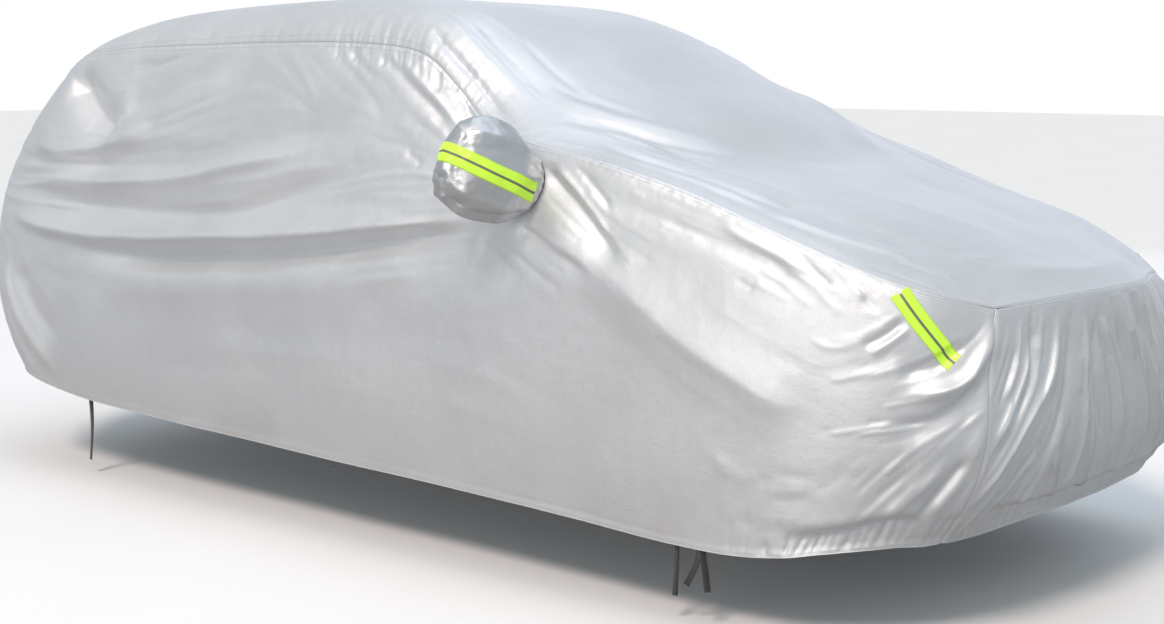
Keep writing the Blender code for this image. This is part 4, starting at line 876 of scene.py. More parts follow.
def plain_grids():
    """Plain grids of the five panels, their normals, made equal at the seams, and distances."""
    stations, shares, across = belt_stations(), SHARES, ACROSS
    grids = {
        "top": top_points(stations[:, None], across[None, :]),
        "right": side_points(stations[:, None], shares[None, :], -1),
        "left": side_points(stations[:, None], shares[None, :], 1),
        "nose": end_points(NOSE_ROWS, LAST, across[:, None], shares[None, :]),
        "tail": end_points(TAIL_ROWS, 0, across[:, None], shares[None, :]),
    }
    normals = {key: grid_normals(grid) * OUTWARD[key] for key, grid in grids.items()}
    seams = {}
    corners = upper_corners(grids)
    for key, edges in seam_normals(normals).items():
        join_corners(key, edges, corners, normals)
        grid, normal = grids[key], normals[key]
        move = np.zeros_like(normal)
        seams[key] = np.full(grid.shape[:2], NO_SEAM)
        for (axis, end), wanted in edges.items():
            distance = np.linalg.norm(grid - np.take(grid, [end], axis=axis), axis=-1)
            change = np.expand_dims(wanted - np.take(normal, end, axis=axis), axis)
            seams[key] = np.minimum(seams[key], distance)
            move = move + change * (1 - smooth(distance / NORMAL_REACH))[..., None]
        normals[key] = unit(normal + move)
    # the pleats of the nose need twice as many points across it
    grids["nose"] = end_points(NOSE_ROWS, LAST, halved(across)[:, None], shares[None, :])
    normals["nose"], seams["nose"] = halved(normals["nose"]), halved(seams["nose"])
    return grids, normals, seams


# Hem profile from the inside flap round to the outside: out of the cloth and up, in mm.
HEM_PROFILE = ((-4.6, 20.0), (-4.8, 14.0), (-5.0, 8.0), (-4.9, 3.0), (-4.0, 0.2), (-2.4, -1.3),
               (-0.6, -1.2), (0.8, 0.3))
HEM_BULGE = 1.6          # how far the turned hem stands out, in mm
HEM_TALL = 18.0          # height of the turned hem, in mm
HEM_STEP = (3.0, 4.0)    # how far below that the bulge starts to end, and over what height
HEM_GROOVE = (-1.1, 2.2)             # depth and half width of the groove of its stitching
HEM_UP_ROW = 3           # row of the wall that shows which way is up at the hem
ALLOWANCE = 0.008        # cloth turned in at a seam
SEAM_SPLIT = 0.0004      # room between the two cloths of a seam


def hem_rows(grid, normal):
    """Rows of points of the turned hem, below the first row of a wall."""
    foot, out = grid[:, 0], normal[:, 0]
    up = unit(grid[:, HEM_UP_ROW] - foot)
    return np.stack([foot + out * a * MM + up * b * MM for a, b in HEM_PROFILE], axis=1)


def wall_grid(cloth, grid, normal, seam):
    """Creased wall with its hem; the hem's own bulge fades in over the last rows."""
    rise = np.linalg.norm(grid - grid[:, :1], axis=-1)
    high = cloth.height(grid, seam)
    above = rise / MM - HEM_TALL
    bulge = HEM_BULGE * MM * (1 - smooth((above + HEM_STEP[0]) / HEM_STEP[1]))
    groove = HEM_GROOVE[0] * MM * np.exp(-(above / HEM_GROOVE[1]) ** 2)
    moved = grid + normal * (high + bulge + groove)[..., None]
    return np.concatenate([hem_rows(moved, normal), moved], axis=1)


def turned_in(points, normal, inward):
    """One more row of cloth behind a seam."""
    return points - normal * ALLOWANCE + inward * SEAM_SPLIT


def grid_faces(rows, columns, flip):
    """Four-sided faces of a grid of points."""
    i, j = np.meshgrid(np.arange(rows - 1), np.arange(columns - 1), indexing="ij")
    a = (i * columns + j).ravel()
    quads = np.stack([a, a + columns, a + columns + 1, a + 1], axis=1)
    return quads[:, ::-1] if flip else quads


def cover_collection():
    """The collection of the cover's pieces, made when it is first asked for."""
    made = bpy.data.collections.get("Car cover")
    if made is None:
        made = bpy.data.collections.new("Car cover")
        bpy.context.scene.collection.children.link(made)
    return made


def mesh_piece(name, points, faces, material, uvs=None):
    """A smooth mesh piece from points in the car's frame; uvs are metres on the flat cloth."""
    points = in_row_frame(np.asarray(points, dtype=float).reshape(-1, 3))
    faces = [tuple(int(k) for k in face) for face in faces]
    used = sorted({k for face in faces for k in face})
    number = {k: n for n, k in enumerate(used)}
    faces = [tuple(number[k] for k in face) for face in faces]
    mesh = bpy.data.meshes.new(name)
    mesh.from_pydata(points[used].tolist(), [], faces)
    mesh.polygons.foreach_set("use_smooth", [True] * len(mesh.polygons))
    if uvs is not None:
        layer = mesh.uv_layers.new(name="cloth")
        loops = np.zeros(len(mesh.loops), dtype=np.int32)
        mesh.loops.foreach_get("vertex_index", loops)
        flat = np.asarray(uvs, dtype=float).reshape(-1, 2)[used][loops]
        layer.data.foreach_set("uv", flat.ravel().astype(np.float32))
    mesh.materials.append(material)
    mesh.update()
    piece = bpy.data.objects.new(name, mesh)
    cover_collection().objects.link(piece)
    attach(piece, "root")
    return piece


def cloth_uvs(grid):
    """Distances along and up the cloth, in metres."""
    along = np.zeros(grid.shape[:2])
    along[1:] = np.cumsum(np.linalg.norm(np.diff(grid, axis=0), axis=-1), axis=0)
    middle = np.broadcast_to(along[:, [along.shape[1] // 2]], along.shape)
    up = np.zeros(grid.shape[:2])
    up[:, 1:] = np.cumsum(np.linalg.norm(np.diff(grid, axis=1), axis=-1), axis=1)
    return np.stack([middle, up], axis=-1)


# ---------------------------------------------------------------- materials

class Value:
    """A shader socket that takes part in Python arithmetic."""

    def __init__(self, shader, socket):
        self.shader, self.socket = shader, socket

    def _math(self, operation, *others, clamp=False):
        return self.shader.node("ShaderNodeMath", {"operation": operation, "use_clamp": clamp},
                                [self, *others])

    def __add__(self, other):
        return self._math("ADD", other)

    def __sub__(self, other):
        return self._math("SUBTRACT", other)

    def __mul__(self, other):
        return self._math("MULTIPLY", other)

    def __pow__(self, other):
        return self._math("POWER", other)

    __radd__, __rmul__ = __add__, __mul__

    def __rsub__(self, other):
        return self.shader.node("ShaderNodeMath", {"operation": "SUBTRACT"}, [other, self])

    def sine(self):
        return self._math("SINE")

    def size(self):
        """The value without its sign."""
        return self._math("ABSOLUTE")

    def clamped(self):
        """The value held between 0 and 1."""
        return self._math("ADD", 0.0, clamp=True)

    def most(self, other):
        """The larger of two values."""
        return self._math("MAXIMUM", other)

    def ramp(self, low, high):
        """0 below low, 1 above high, smooth between."""
        return self.shader.node("ShaderNodeMapRange", {"interpolation_type": "SMOOTHSTEP"},
                                {"Value": self, "From Min": low, "From Max": high})

    def blend(self, one, two):
        """Colour one where this is 0, colour two where it is 1."""
        return self.shader.node("ShaderNodeMix", {"data_type": "RGBA"},
                                {"Factor": self, "A": one, "B": two}, "Result")


class Shader:
    """One material: its nodes, and the finish that they feed."""

    def __init__(self, name, colour, **constants):
        self.material = bpy.data.materials.new(name)
        self.material.use_nodes = True
        self.tree = self.material.node_tree
        self.finish = self.tree.nodes["Principled BSDF"]
        self.material.diffuse_color = (*colour[:3], 1.0)
        self.feed("Base Color", (*colour[:3], 1.0))
        for key, value in constants.items():
            self.feed(key.replace("_", " "), value)

    def _fill(self, socket, value):
        if isinstance(value, Value):
            self.tree.links.new(value.socket, socket)
        elif hasattr(socket.default_value, "__len__") and len(socket.default_value) == 4:
            socket.default_value = (*tuple(value)[:3], 1.0)
        else:
            socket.default_value = value

    def node(self, kind, settings, values, output=None):
        """One node: its settings first, then its sockets, by place or by name."""
        made = self.tree.nodes.new(kind)
        for key, value in settings.items():
            setattr(made, key, value)
        if isinstance(values, dict):
            for key, value in values.items():
                sockets = [s for s in made.inputs if s.name == key and s.enabled]
                self._fill(sockets[0], value)
        else:
            for socket, value in zip(made.inputs, values):
                self._fill(socket, value)
        outputs = [s for s in made.outputs if s.enabled and (output is None or s.name == output)]
        return Value(self, outputs[0])

    def feed(self, name, value):
        self._fill(self.finish.inputs[name], value)

    def place(self, kind):
        """Texture coordinates: UV or Object."""
        return self.node("ShaderNodeTexCoord", {}, {}, kind)

    def parts_of(self, vector):
        """The three values of a vector."""
        made = self.tree.nodes.new("ShaderNodeSeparateXYZ")
        self._fill(made.inputs[0], vector)
        return [Value(self, socket) for socket in made.outputs]

    def join(self, x, y, z):
        return self.node("ShaderNodeCombineXYZ", {}, [x, y, z])

    def noise(self, place, scale, detail=3.0, roughness=0.55):
        """Soft noise from 0 to 1; scale is per metre where the place is in metres."""
        return self.node("ShaderNodeTexNoise", {},
                         {"Vector": place, "Scale": scale, "Detail": detail,
                          "Roughness": roughness}, "Fac")

    def cells(self, place, scale, feature="DISTANCE_TO_EDGE"):
        """Distances within Voronoi cells."""
        return self.node("ShaderNodeTexVoronoi", {"feature": feature},
                         {"Vector": place, "Scale": scale}, "Distance")

    def bump(self, height, strength, distance, below=None):
        """Normal of a fine relief, on top of another one where that is given."""
        values = {"Strength": strength, "Distance": distance, "Height": height}
        if below is not None:
            values["Normal"] = below
        return self.node("ShaderNodeBump", {}, values, "Normal")


def weave(shader, place, pitch):
    """Height of a plain weave: threads pass over and under each other."""
    u, v, _ = shader.parts_of(place)
    turn = 2 * math.pi / pitch
    along, up = (u * turn).sine(), (v * turn).sine()
    check = (u * (turn / 2)).sine() * (v * (turn / 2)).sine()
    return along * up * 0.5 + check.size() * 0.5


DUST_HEIGHTS = (-1.46, -1.05)        # all dust below the first, none above the second
DUST_COLOUR = (0.44, 0.43, 0.41)
THREAD_RELIEF = 0.0002               # relief of threads and of moulded grain
BEAD_RELIEF = 0.0003
RIB_RELIEF = 0.0004


def shade(colour, share, more=0.0):
    """A colour scaled by a share, with a little more of all three added."""
    return tuple(min(1.0, c * share + more) for c in colour[:3])


def cloth_material(name, colour, settings, gloss=0.0, metal=0.0):
    """Silver coated cloth: satin sheen, fine weave, crinkled coating and dust near the ground."""
    shader = Shader(name, colour, Metallic=min(1.0, settings.metallic + metal))
    shader.feed("Sheen Weight", 0.10)
    shader.feed("Sheen Roughness", 0.4)
    where, flat = shader.place("Object"), shader.place("UV")
    broad = shader.noise(where, scale=2.6, detail=4.0)
    fine = shader.noise(where, scale=70.0, detail=4.0, roughness=0.62)
    u, v, _ = shader.parts_of(flat)
    along, up = u * 5.0 + broad * 2.0, v * 42.0 + broad * 9.0
    lines = shader.noise(shader.join(along, up, 0.0), scale=1.0)
    crinkle = (1.0 - (lines * 2.0 - 1.0).size()) ** 7.0
    facets = shader.cells(where, scale=34.0).ramp(low=0.0, high=0.12)
    _, _, z = shader.parts_of(where)
    dust = (1.0 - z.ramp(*DUST_HEIGHTS)) * broad.ramp(low=0.35, high=0.75)
    lighter_fine_crests = fine.ramp(low=0.60, high=0.74) * 0.5
    # Lighter patches on the crests of the fine relief.
    tone = broad.ramp(low=0.30, high=0.70).blend(shade(colour, 0.955), shade(colour, 1.03))
    tone = lighter_fine_crests.blend(tone, shade(colour, 1.12, 0.02))
    tone = (dust * 0.5).blend(tone, DUST_COLOUR)
    shader.feed("Base Color", tone)
    rough = settings.roughness - gloss + (fine - 0.5) * 0.22 + (broad - 0.5) * 0.10 + dust * 0.12
    shader.feed("Roughness", rough.clamped())
    under = shader.bump(fine, strength=0.16, distance=MM)
    under = shader.bump(facets, strength=0.10, distance=MM, below=under)
    crinkled = crinkle * broad.ramp(low=0.45, high=0.60)
    under = shader.bump(crinkled, strength=0.14, distance=MM, below=under)
    net = weave(shader, flat, settings.weave)
    shader.feed("Normal", shader.bump(net, strength=0.3, distance=THREAD_RELIEF, below=under))
    return shader.material


LINE_BLUR = (0.0008, 0.0012)         # softness inside and outside the edge of the dark line
TAPE_EDGES = (0.0235, 0.0255)        # distance from the tape's middle where its hem darkens


def tape_material(name, settings):
    """Lime reflective tape: glass-bead sheen, a dark line along its middle, soft scuffs."""
    shader = Shader(name, settings.tape_colour, Metallic=0.0)
    shader.feed("Coat Weight", 0.25)
    shader.feed("Coat Roughness", 0.25)
    shader.feed("Emission Strength", 1.0)
    flat, where = shader.place("UV"), shader.place("Object")
    _, v, _ = shader.parts_of(flat)
    half = settings.line_width / 2
    line = 1.0 - v.size().ramp(half - LINE_BLUR[0], half + LINE_BLUR[1])
    edge = v.size().ramp(*TAPE_EDGES)
    scuff = shader.noise(where, scale=60.0, detail=4.0).ramp(low=0.56, high=0.75)
    lime = tuple(settings.tape_colour)
    tone = (scuff * 0.35).blend(lime, shade(lime, 0.72))
    tone = (edge * 0.5).blend(tone, shade(lime, 0.6))
    tone = line.blend(tone, tuple(settings.line_colour))
    shader.feed("Base Color", tone)
    glow = shade(lime, settings.glow)
    shader.feed("Emission Color", line.most(scuff * 0.4).blend(glow, (0.0, 0.0, 0.0)))
    shader.feed("Roughness", 0.34 + scuff * 0.25 + line * 0.15)
    beads = shader.cells(flat, scale=900.0, feature="F1")
    shader.feed("Normal", shader.bump(beads, strength=0.25, distance=BEAD_RELIEF))
    return shader.material


RIB_PITCH = 0.0016
WORN_EDGES, WORN_COLOUR = (0.0078, 0.0098), (0.09, 0.09, 0.095)


def webbing_material(name, settings):
    """Black flat webbing: ribs across with painted highlight and shade, a chevron of threads, and
    worn grey edges.
    """
    shader = Shader(name, settings.webbing_colour, Metallic=0.0)
    shader.feed("Sheen Weight", 0.3)
    flat, where = shader.place("UV"), shader.place("Object")
    u, v, _ = shader.parts_of(flat)
    rib = ((u + v.size() * 0.7) * (2 * math.pi / RIB_PITCH)).sine()
    patches = shader.noise(where, scale=90.0).ramp(low=0.40, high=0.65)
    worn = v.size().ramp(*WORN_EDGES) * patches
    base = tuple(settings.webbing_colour)
    # painted highlight and shade: the ribs' crests lighter and their grooves darker
    tone = rib.ramp(low=-0.6, high=0.9).blend(shade(base, 0.6), shade(base, 1.5))
    shader.feed("Base Color", worn.blend(tone, WORN_COLOUR))
    shader.feed("Roughness", 0.72 + worn * 0.15)
    shader.feed("Normal", shader.bump(rib, strength=0.6, distance=RIB_RELIEF))
    return shader.material


def hook_material(name, colour):
    """Grey plastic with a faint moulded grain."""
    shader = Shader(name, colour, Metallic=0.0)
    where = shader.place("Object")
    grain = shader.noise(where, scale=700.0, detail=2.0)
    mottle = shader.noise(where, scale=60.0)
    shader.feed("Base Color", mottle.ramp(low=0.35, high=0.7).blend(colour, shade(colour, 1.5)))
    shader.feed("Roughness", 0.40 + mottle * 0.15)
    shader.feed("Normal", shader.bump(grain, strength=0.3, distance=THREAD_RELIEF))
    return shader.material


TWIST_PITCH = 0.0012


def thread_material(name, colour):
    """Grey sewing thread with its twist; painted shade darkens the twist's grooves."""
    shader = Shader(name, colour, Metallic=0.0)
    where = shader.place("Object")
    x, y, z = shader.parts_of(where)
    twist = ((x + y + z) * (2 * math.pi / TWIST_PITCH)).sine()
    # painted shade: darker in the grooves of the twist
    shader.feed("Base Color", twist.ramp(low=-0.7, high=0.7).blend(shade(colour, 0.75), colour))
    shader.feed("Roughness", 0.6 + twist * 0.05)
    shader.feed("Normal", shader.bump(twist, strength=0.4, distance=THREAD_RELIEF))
    return shader.material


FLOOR_BOUNCE = (0.42, 0.42, 0.42)    # the floor's colour for light that it throws back


def floor_material(name, colour):
    """Pale floor that throws less light back up than it shows, so that folds keep their shade."""
    shader = Shader(name, colour, Metallic=0.0)
    where = shader.place("Object")
    broad = shader.noise(where, scale=0.8, detail=2.0)
    tone = broad.ramp(low=0.3, high=0.7).blend(shade(colour, 0.985), colour)
    seen = shader.node("ShaderNodeLightPath", {}, {}, "Is Camera Ray")
    shader.feed("Base Color", seen.blend(FLOOR_BOUNCE, tone))
    shader.feed("Roughness", 0.8 + broad * 0.1)
    return shader.material


def material_of(name, make, *arguments):
    """The material of a name, made when it is first asked for."""
    return bpy.data.materials.get(name) or make(name, *arguments)


# ---------------------------------------------------------------- settings

def colour_property(name, description, default):
    return bpy.props.FloatVectorProperty(name=name, description=description, default=default,
                                         subtype="COLOR", size=3, min=0.0, max=1.0)


class CoverClothSettings(bpy.types.PropertyGroup):
    depth: bpy.props.FloatProperty(
        name="Crease depth", description="Scale of all creases and folds", default=1.0, min=0.0)
    crumpling: bpy.props.FloatProperty(
        name="Crumpling", description="Scale of the small crumples", default=1.0, min=0.0)
    colour: colour_property("Cloth colour", "Silver coating of the panels", (0.70, 0.71, 0.725))
    pocket: colour_property("Pocket colour", "Silver cloth of the mirror pockets",
                            (0.57, 0.575, 0.585))
    metallic: bpy.props.FloatProperty(
        name="Metallic", description="How metallic the coating looks", default=0.72, min=0, max=1)
    roughness: bpy.props.FloatProperty(
        name="Roughness", description="Roughness of the coating", default=0.50, min=0, max=1)
    weave: bpy.props.FloatProperty(
        name="Weave", description="Pitch of the weave's threads", default=0.0016, min=0.0005,
        unit="LENGTH")
    thread: colour_property("Thread", "Sewing thread", (0.48, 0.49, 0.51))


class CoverTrimSettings(bpy.types.PropertyGroup):
    tape_colour: colour_property("Tape", "Lime reflective tape", (0.58, 0.95, 0.06))
    line_colour: colour_property("Tape line", "Dark line along the tape", (0.16, 0.17, 0.11))
    line_width: bpy.props.FloatProperty(
        name="Line width", description="Width of the dark line", default=0.007, unit="LENGTH")
    glow: bpy.props.FloatProperty(
        name="Tape glow", description="Light that the tape's fluorescence adds", default=0.12)
    tape_width: bpy.props.FloatProperty(
        name="Tape width", description="Width of the pocket tape", default=0.056, unit="LENGTH")
    webbing_colour: colour_property("Webbing", "Black strap webbing", (0.012, 0.012, 0.013))
    webbing_width: bpy.props.FloatProperty(
        name="Webbing width", description="Width of the straps", default=0.020, unit="LENGTH")
    hook_colour: colour_property("Hooks", "Plastic of the hem hooks", (0.10, 0.10, 0.105))


class CoverStageSettings(bpy.types.PropertyGroup):
    floor_colour: colour_property("Floor", "Pale studio floor", (0.88, 0.88, 0.88))
    key: bpy.props.FloatProperty(
        name="Key light", description="Strength of the high light at the right side",
        default=1.75)
    side: bpy.props.FloatProperty(
        name="Side light", description="Power of the low broad light at the right side",
        default=75.0, unit="POWER")
    sky: bpy.props.FloatProperty(
        name="Sky light", description="Power of the cool light over the cover", default=67.0,
        unit="POWER")
    back: bpy.props.FloatProperty(
        name="Back light", description="Power of the blue light beyond the left side",
        default=79.0, unit="POWER")
    lens: bpy.props.FloatProperty(
        name="Lens", description="Focal length of the camera", default=56.44, unit="CAMERA")


# ---------------------------------------------------------------- operators

Pocket = namedtuple("Pocket", "x z forward outward up size")
POCKETS = {
    -1: Pocket(-0.545, 1.147, -0.90, 0.88, 0.45, 1.0),
    1: Pocket(-0.520, 1.120, -0.45, 0.85, -1.00, 0.82),
}
POCKET_MOUTH = (0.075, 0.083)        # half length and half height of the mouth
WALL_LEAN = 0.24                     # how much the wall at the mouth faces up
# rings: distance out, half height, half depth, angle of the tape
MOUTH_RING, TIP_RING = (0.0, 0.083, 0.075, -22), (0.268, 0.03, 0.02, 18)
POCKET_RINGS = np.array([
    (0.034, 0.102, 0.080, -17), (0.080, 0.130, 0.086, -8), (0.145, 0.142, 0.088, -1),
    (0.205, 0.130, 0.076, 5), (0.246, 0.094, 0.055, 10), (0.263, 0.044, 0.028, 16),
])
STORE = {}               # what the operators share: the cloth, its grids and the mouths' rims


def cloth_store():
    """The creased panels, made once for all operators."""
    if not STORE:
        settings = bpy.context.scene.cover_cloth
        cloth = Cloth(settings.depth, settings.crumpling)
        grids, normals, seams = plain_grids()
        made = {}
        for key in ("right", "left", "nose", "tail"):
            made[key] = wall_grid(cloth, grids[key], normals[key], seams[key])
        high = cloth.height(grids["top"], seams["top"])
        made["top"] = grids["top"] + normals["top"] * high[..., None]
        STORE.update(cloth=cloth, grids=grids, normals=normals, made=made)
    return STORE


def wide_normals(normal):
    """Normals of a wall repeated for its hem rows."""
    return np.concatenate([np.repeat(normal[:, :1], len(HEM_PROFILE), axis=1), normal], axis=1)


def with_allowance(grid, normal, edges):
    """Add the turned-in row of cloth along the given edges of a panel."""
    for axis, end in edges:
        edge = np.take(grid, end, axis=axis)
        near = np.take(grid, end + 1 if end == 0 else end - 1, axis=axis)
        inward = near - edge
        inward /= np.maximum(np.linalg.norm(inward, axis=-1, keepdims=True), 1e-9)
        row = turned_in(edge, np.take(normal, end, axis=axis), inward)
        row, more = np.expand_dims(row, axis), np.expand_dims(np.take(normal, end, axis=axis), axis)
        grid = np.concatenate([row, grid] if end == 0 else [grid, row], axis=axis)
        normal = np.concatenate([more, normal] if end == 0 else [normal, more], axis=axis)
    return grid


WALL_EDGES = ((0, 0), (0, -1), (1, -1))      # edges of a wall that are sewn


def panel_piece(key, name, node, flip, edges=WALL_EDGES, mouth=None):
    """One cloth panel with its hem, seam allowance and weave."""
    store = cloth_store()
    settings = bpy.context.scene.cover_cloth
    grid = store["made"][key]
    normal = store["normals"][key]
    if key != "top":
        normal = wide_normals(normal)
    grid = with_allowance(grid, normal, edges)
    faces = grid_faces(*grid.shape[:2], flip)
    points = grid.reshape(-1, 3)
    if mouth is not None:
        points, faces = cut_mouth(points, faces, mouth)
    material = material_of("silver cloth", cloth_material, tuple(settings.colour), settings)
    uvs = cloth_uvs(grid)
    if key in ("nose", "tail"):
        uvs = uvs[..., ::-1]        # the crinkles run up these panels
    piece = mesh_piece(name, points, faces, material, uvs)
    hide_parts(node)


OUTER_WALL = 0.6         # half width beyond which a point is on the outside of the doors
RIM_NEAR = (0.5, 1.6)    # shares of the mouth between which points give the rim its depth
RIM_POINTS = 6           # how many of them do


def cut_mouth(points, faces, side):
    """Open the pocket's mouth in a side panel and move the cut edge onto its rim."""
    pocket = POCKETS[side]
    share = np.hypot((points[:, 0] - pocket.x) / POCKET_MOUTH[0],
                     (points[:, 2] - pocket.z) / POCKET_MOUTH[1])
    out = side * points[:, 1] > OUTER_WALL
    inside = (share[faces].mean(axis=1) < 1.0) & out[faces].all(axis=1)
    kept = faces[~inside]
    rim = np.intersect1d(np.unique(faces[inside]), np.unique(kept))
    points = points.copy()
    around = np.flatnonzero((share > RIM_NEAR[0]) & (share < RIM_NEAR[1]) & out)
    for index in rim:
        wanted = np.array([pocket.x + (points[index, 0] - pocket.x) / share[index],
                           pocket.z + (points[index, 2] - pocket.z) / share[index]])
        gap = np.hypot(points[around, 0] - wanted[0], points[around, 2] - wanted[1])
        nearest = around[np.argsort(gap)[:RIM_POINTS]]
        weight = 1 / (np.sort(gap)[:RIM_POINTS] + 1e-4)
        depth = (points[nearest, 1] * weight).sum() / weight.sum()
        points[index] = (wanted[0], depth, wanted[1])
    STORE[("rim", side)] = points[rim]
    return points, kept


class CoverTop(bpy.types.Operator):
    """Top panel of roof, windscreen and bonnet cloth"""
    bl_idname = "car_cover.top"
    bl_label = "Top panel"

    def execute(self, context):
        panel_piece("top", "top_cloth", "top_panel", False, (*WALL_EDGES[:2], (1, 0), (1, -1)))
        return {"FINISHED"}


class CoverSides(bpy.types.Operator):
    """Right and left side panels with their turned hems and pocket mouths"""
    bl_idname = "car_cover.sides"
    bl_label = "Side panels"

    def execute(self, context):
        for side, word in SIDES.items():
            panel_piece(word, "side_cloth_" + word, "side_panel_" + word, side > 0, mouth=side)
        return {"FINISHED"}


class CoverEnds(bpy.types.Operator):
    """Nose and tail panels with their elastic hems"""
    bl_idname = "car_cover.ends"
    bl_label = "Nose and tail"

    def execute(self, context):
        panel_piece("nose", "nose_cloth", "nose_panel", False)
        panel_piece("tail", "tail_cloth", "tail_panel", True)
        return {"FINISHED"}


POCKET_FINISH = (0.16, 0.22)         # added gloss and metal
POCKET_LONG, POCKET_ROUND = 0.36, 0.11       # its length and mean radius, for its weave
TAPE_RUN = (0.85, 6.35, 56)          # first ring, last ring and steps of the pocket's tape
TAPE_LANES = 13
TAPE_STEEPEST = 0.62                 # smallest half height of a ring, in tape widths
TAPE_LIFT = 0.0016                   # how far tape lies off the cloth's plain face
TAPE_EDGE = 0.0011                   # how far its cut edges turn down
POCKET_TURNS = 150
POCKET_ROWS = 90
# Creases of a pocket: (angle, row share) start and end, height in mm, width in shares.
POCKET_CREASES = (
    (-46, 0.08, -30, 0.66, 11.0, 0.034), (-62, 0.10, -52, 0.70, -11.0, 0.036),
    (-78, 0.08, -74, 0.62, 10.0, 0.030), (-94, 0.12, -96, 0.68, -10.0, 0.034),
    (-112, 0.10, -108, 0.60, 9.0, 0.030), (-130, 0.12, -126, 0.58, -8.0, 0.034),
    (-34, 0.30, -64, 0.54, 8.0, 0.024), (-50, 0.60, -98, 0.72, 8.0, 0.026),
    (-86, 0.38, -120, 0.56, -6.0, 0.022), (-28, 0.66, -60, 0.84, -7.0, 0.026),
    (-150, 0.10, -146, 0.56, 6.0, 0.036), (-70, 0.76, -120, 0.88, 5.0, 0.024),
    (22, 0.10, 26, 0.56, -6.0, 0.036), (44, 0.08, 42, 0.66, 6.0, 0.034),
    (66, 0.06, 62, 0.60, -5.0, 0.040), (88, 0.08, 84, 0.70, 5.0, 0.036),
    (112, 0.10, 104, 0.60, -5.0, 0.040), (134, 0.10, 126, 0.66, 6.0, 0.034),
    (160, 0.10, 158, 0.60, -6.0, 0.036), (30, 0.62, 84, 0.74, 5.0, 0.026),
    (96, 0.66, 150, 0.80, 6.0, 0.026), (120, 0.44, 150, 0.56, -5.0, 0.024),
    (6, 0.06, 4, 0.36, 5.0, 0.026), (14, 0.52, -16, 0.66, 4.0, 0.022),
)


# Unevenness of a pocket: height, distance between hills, seed.
POCKET_CRUMPLES, POCKET_WAVES = (0.0032, 0.05, 41), (0.0040, 0.09, 43)
# Gathers where a pocket is sewn round its mouth: how many, how deep, how long in row shares.
MOUTH_GATHERS, GATHERS_DEEP, GATHERS_LONG = 17, 0.0022, 0.10
MOUTH_FADE, TIP_FADE = 0.05, 0.10    # row shares over which creases fade at its ends
MOUTH_DEEP, MOUTH_GROOVE = 0.002, 0.02       # groove of the seam round the mouth
TIP_ROUNDING = 0.3                   # how far the tip lies past the last ring, in ring steps


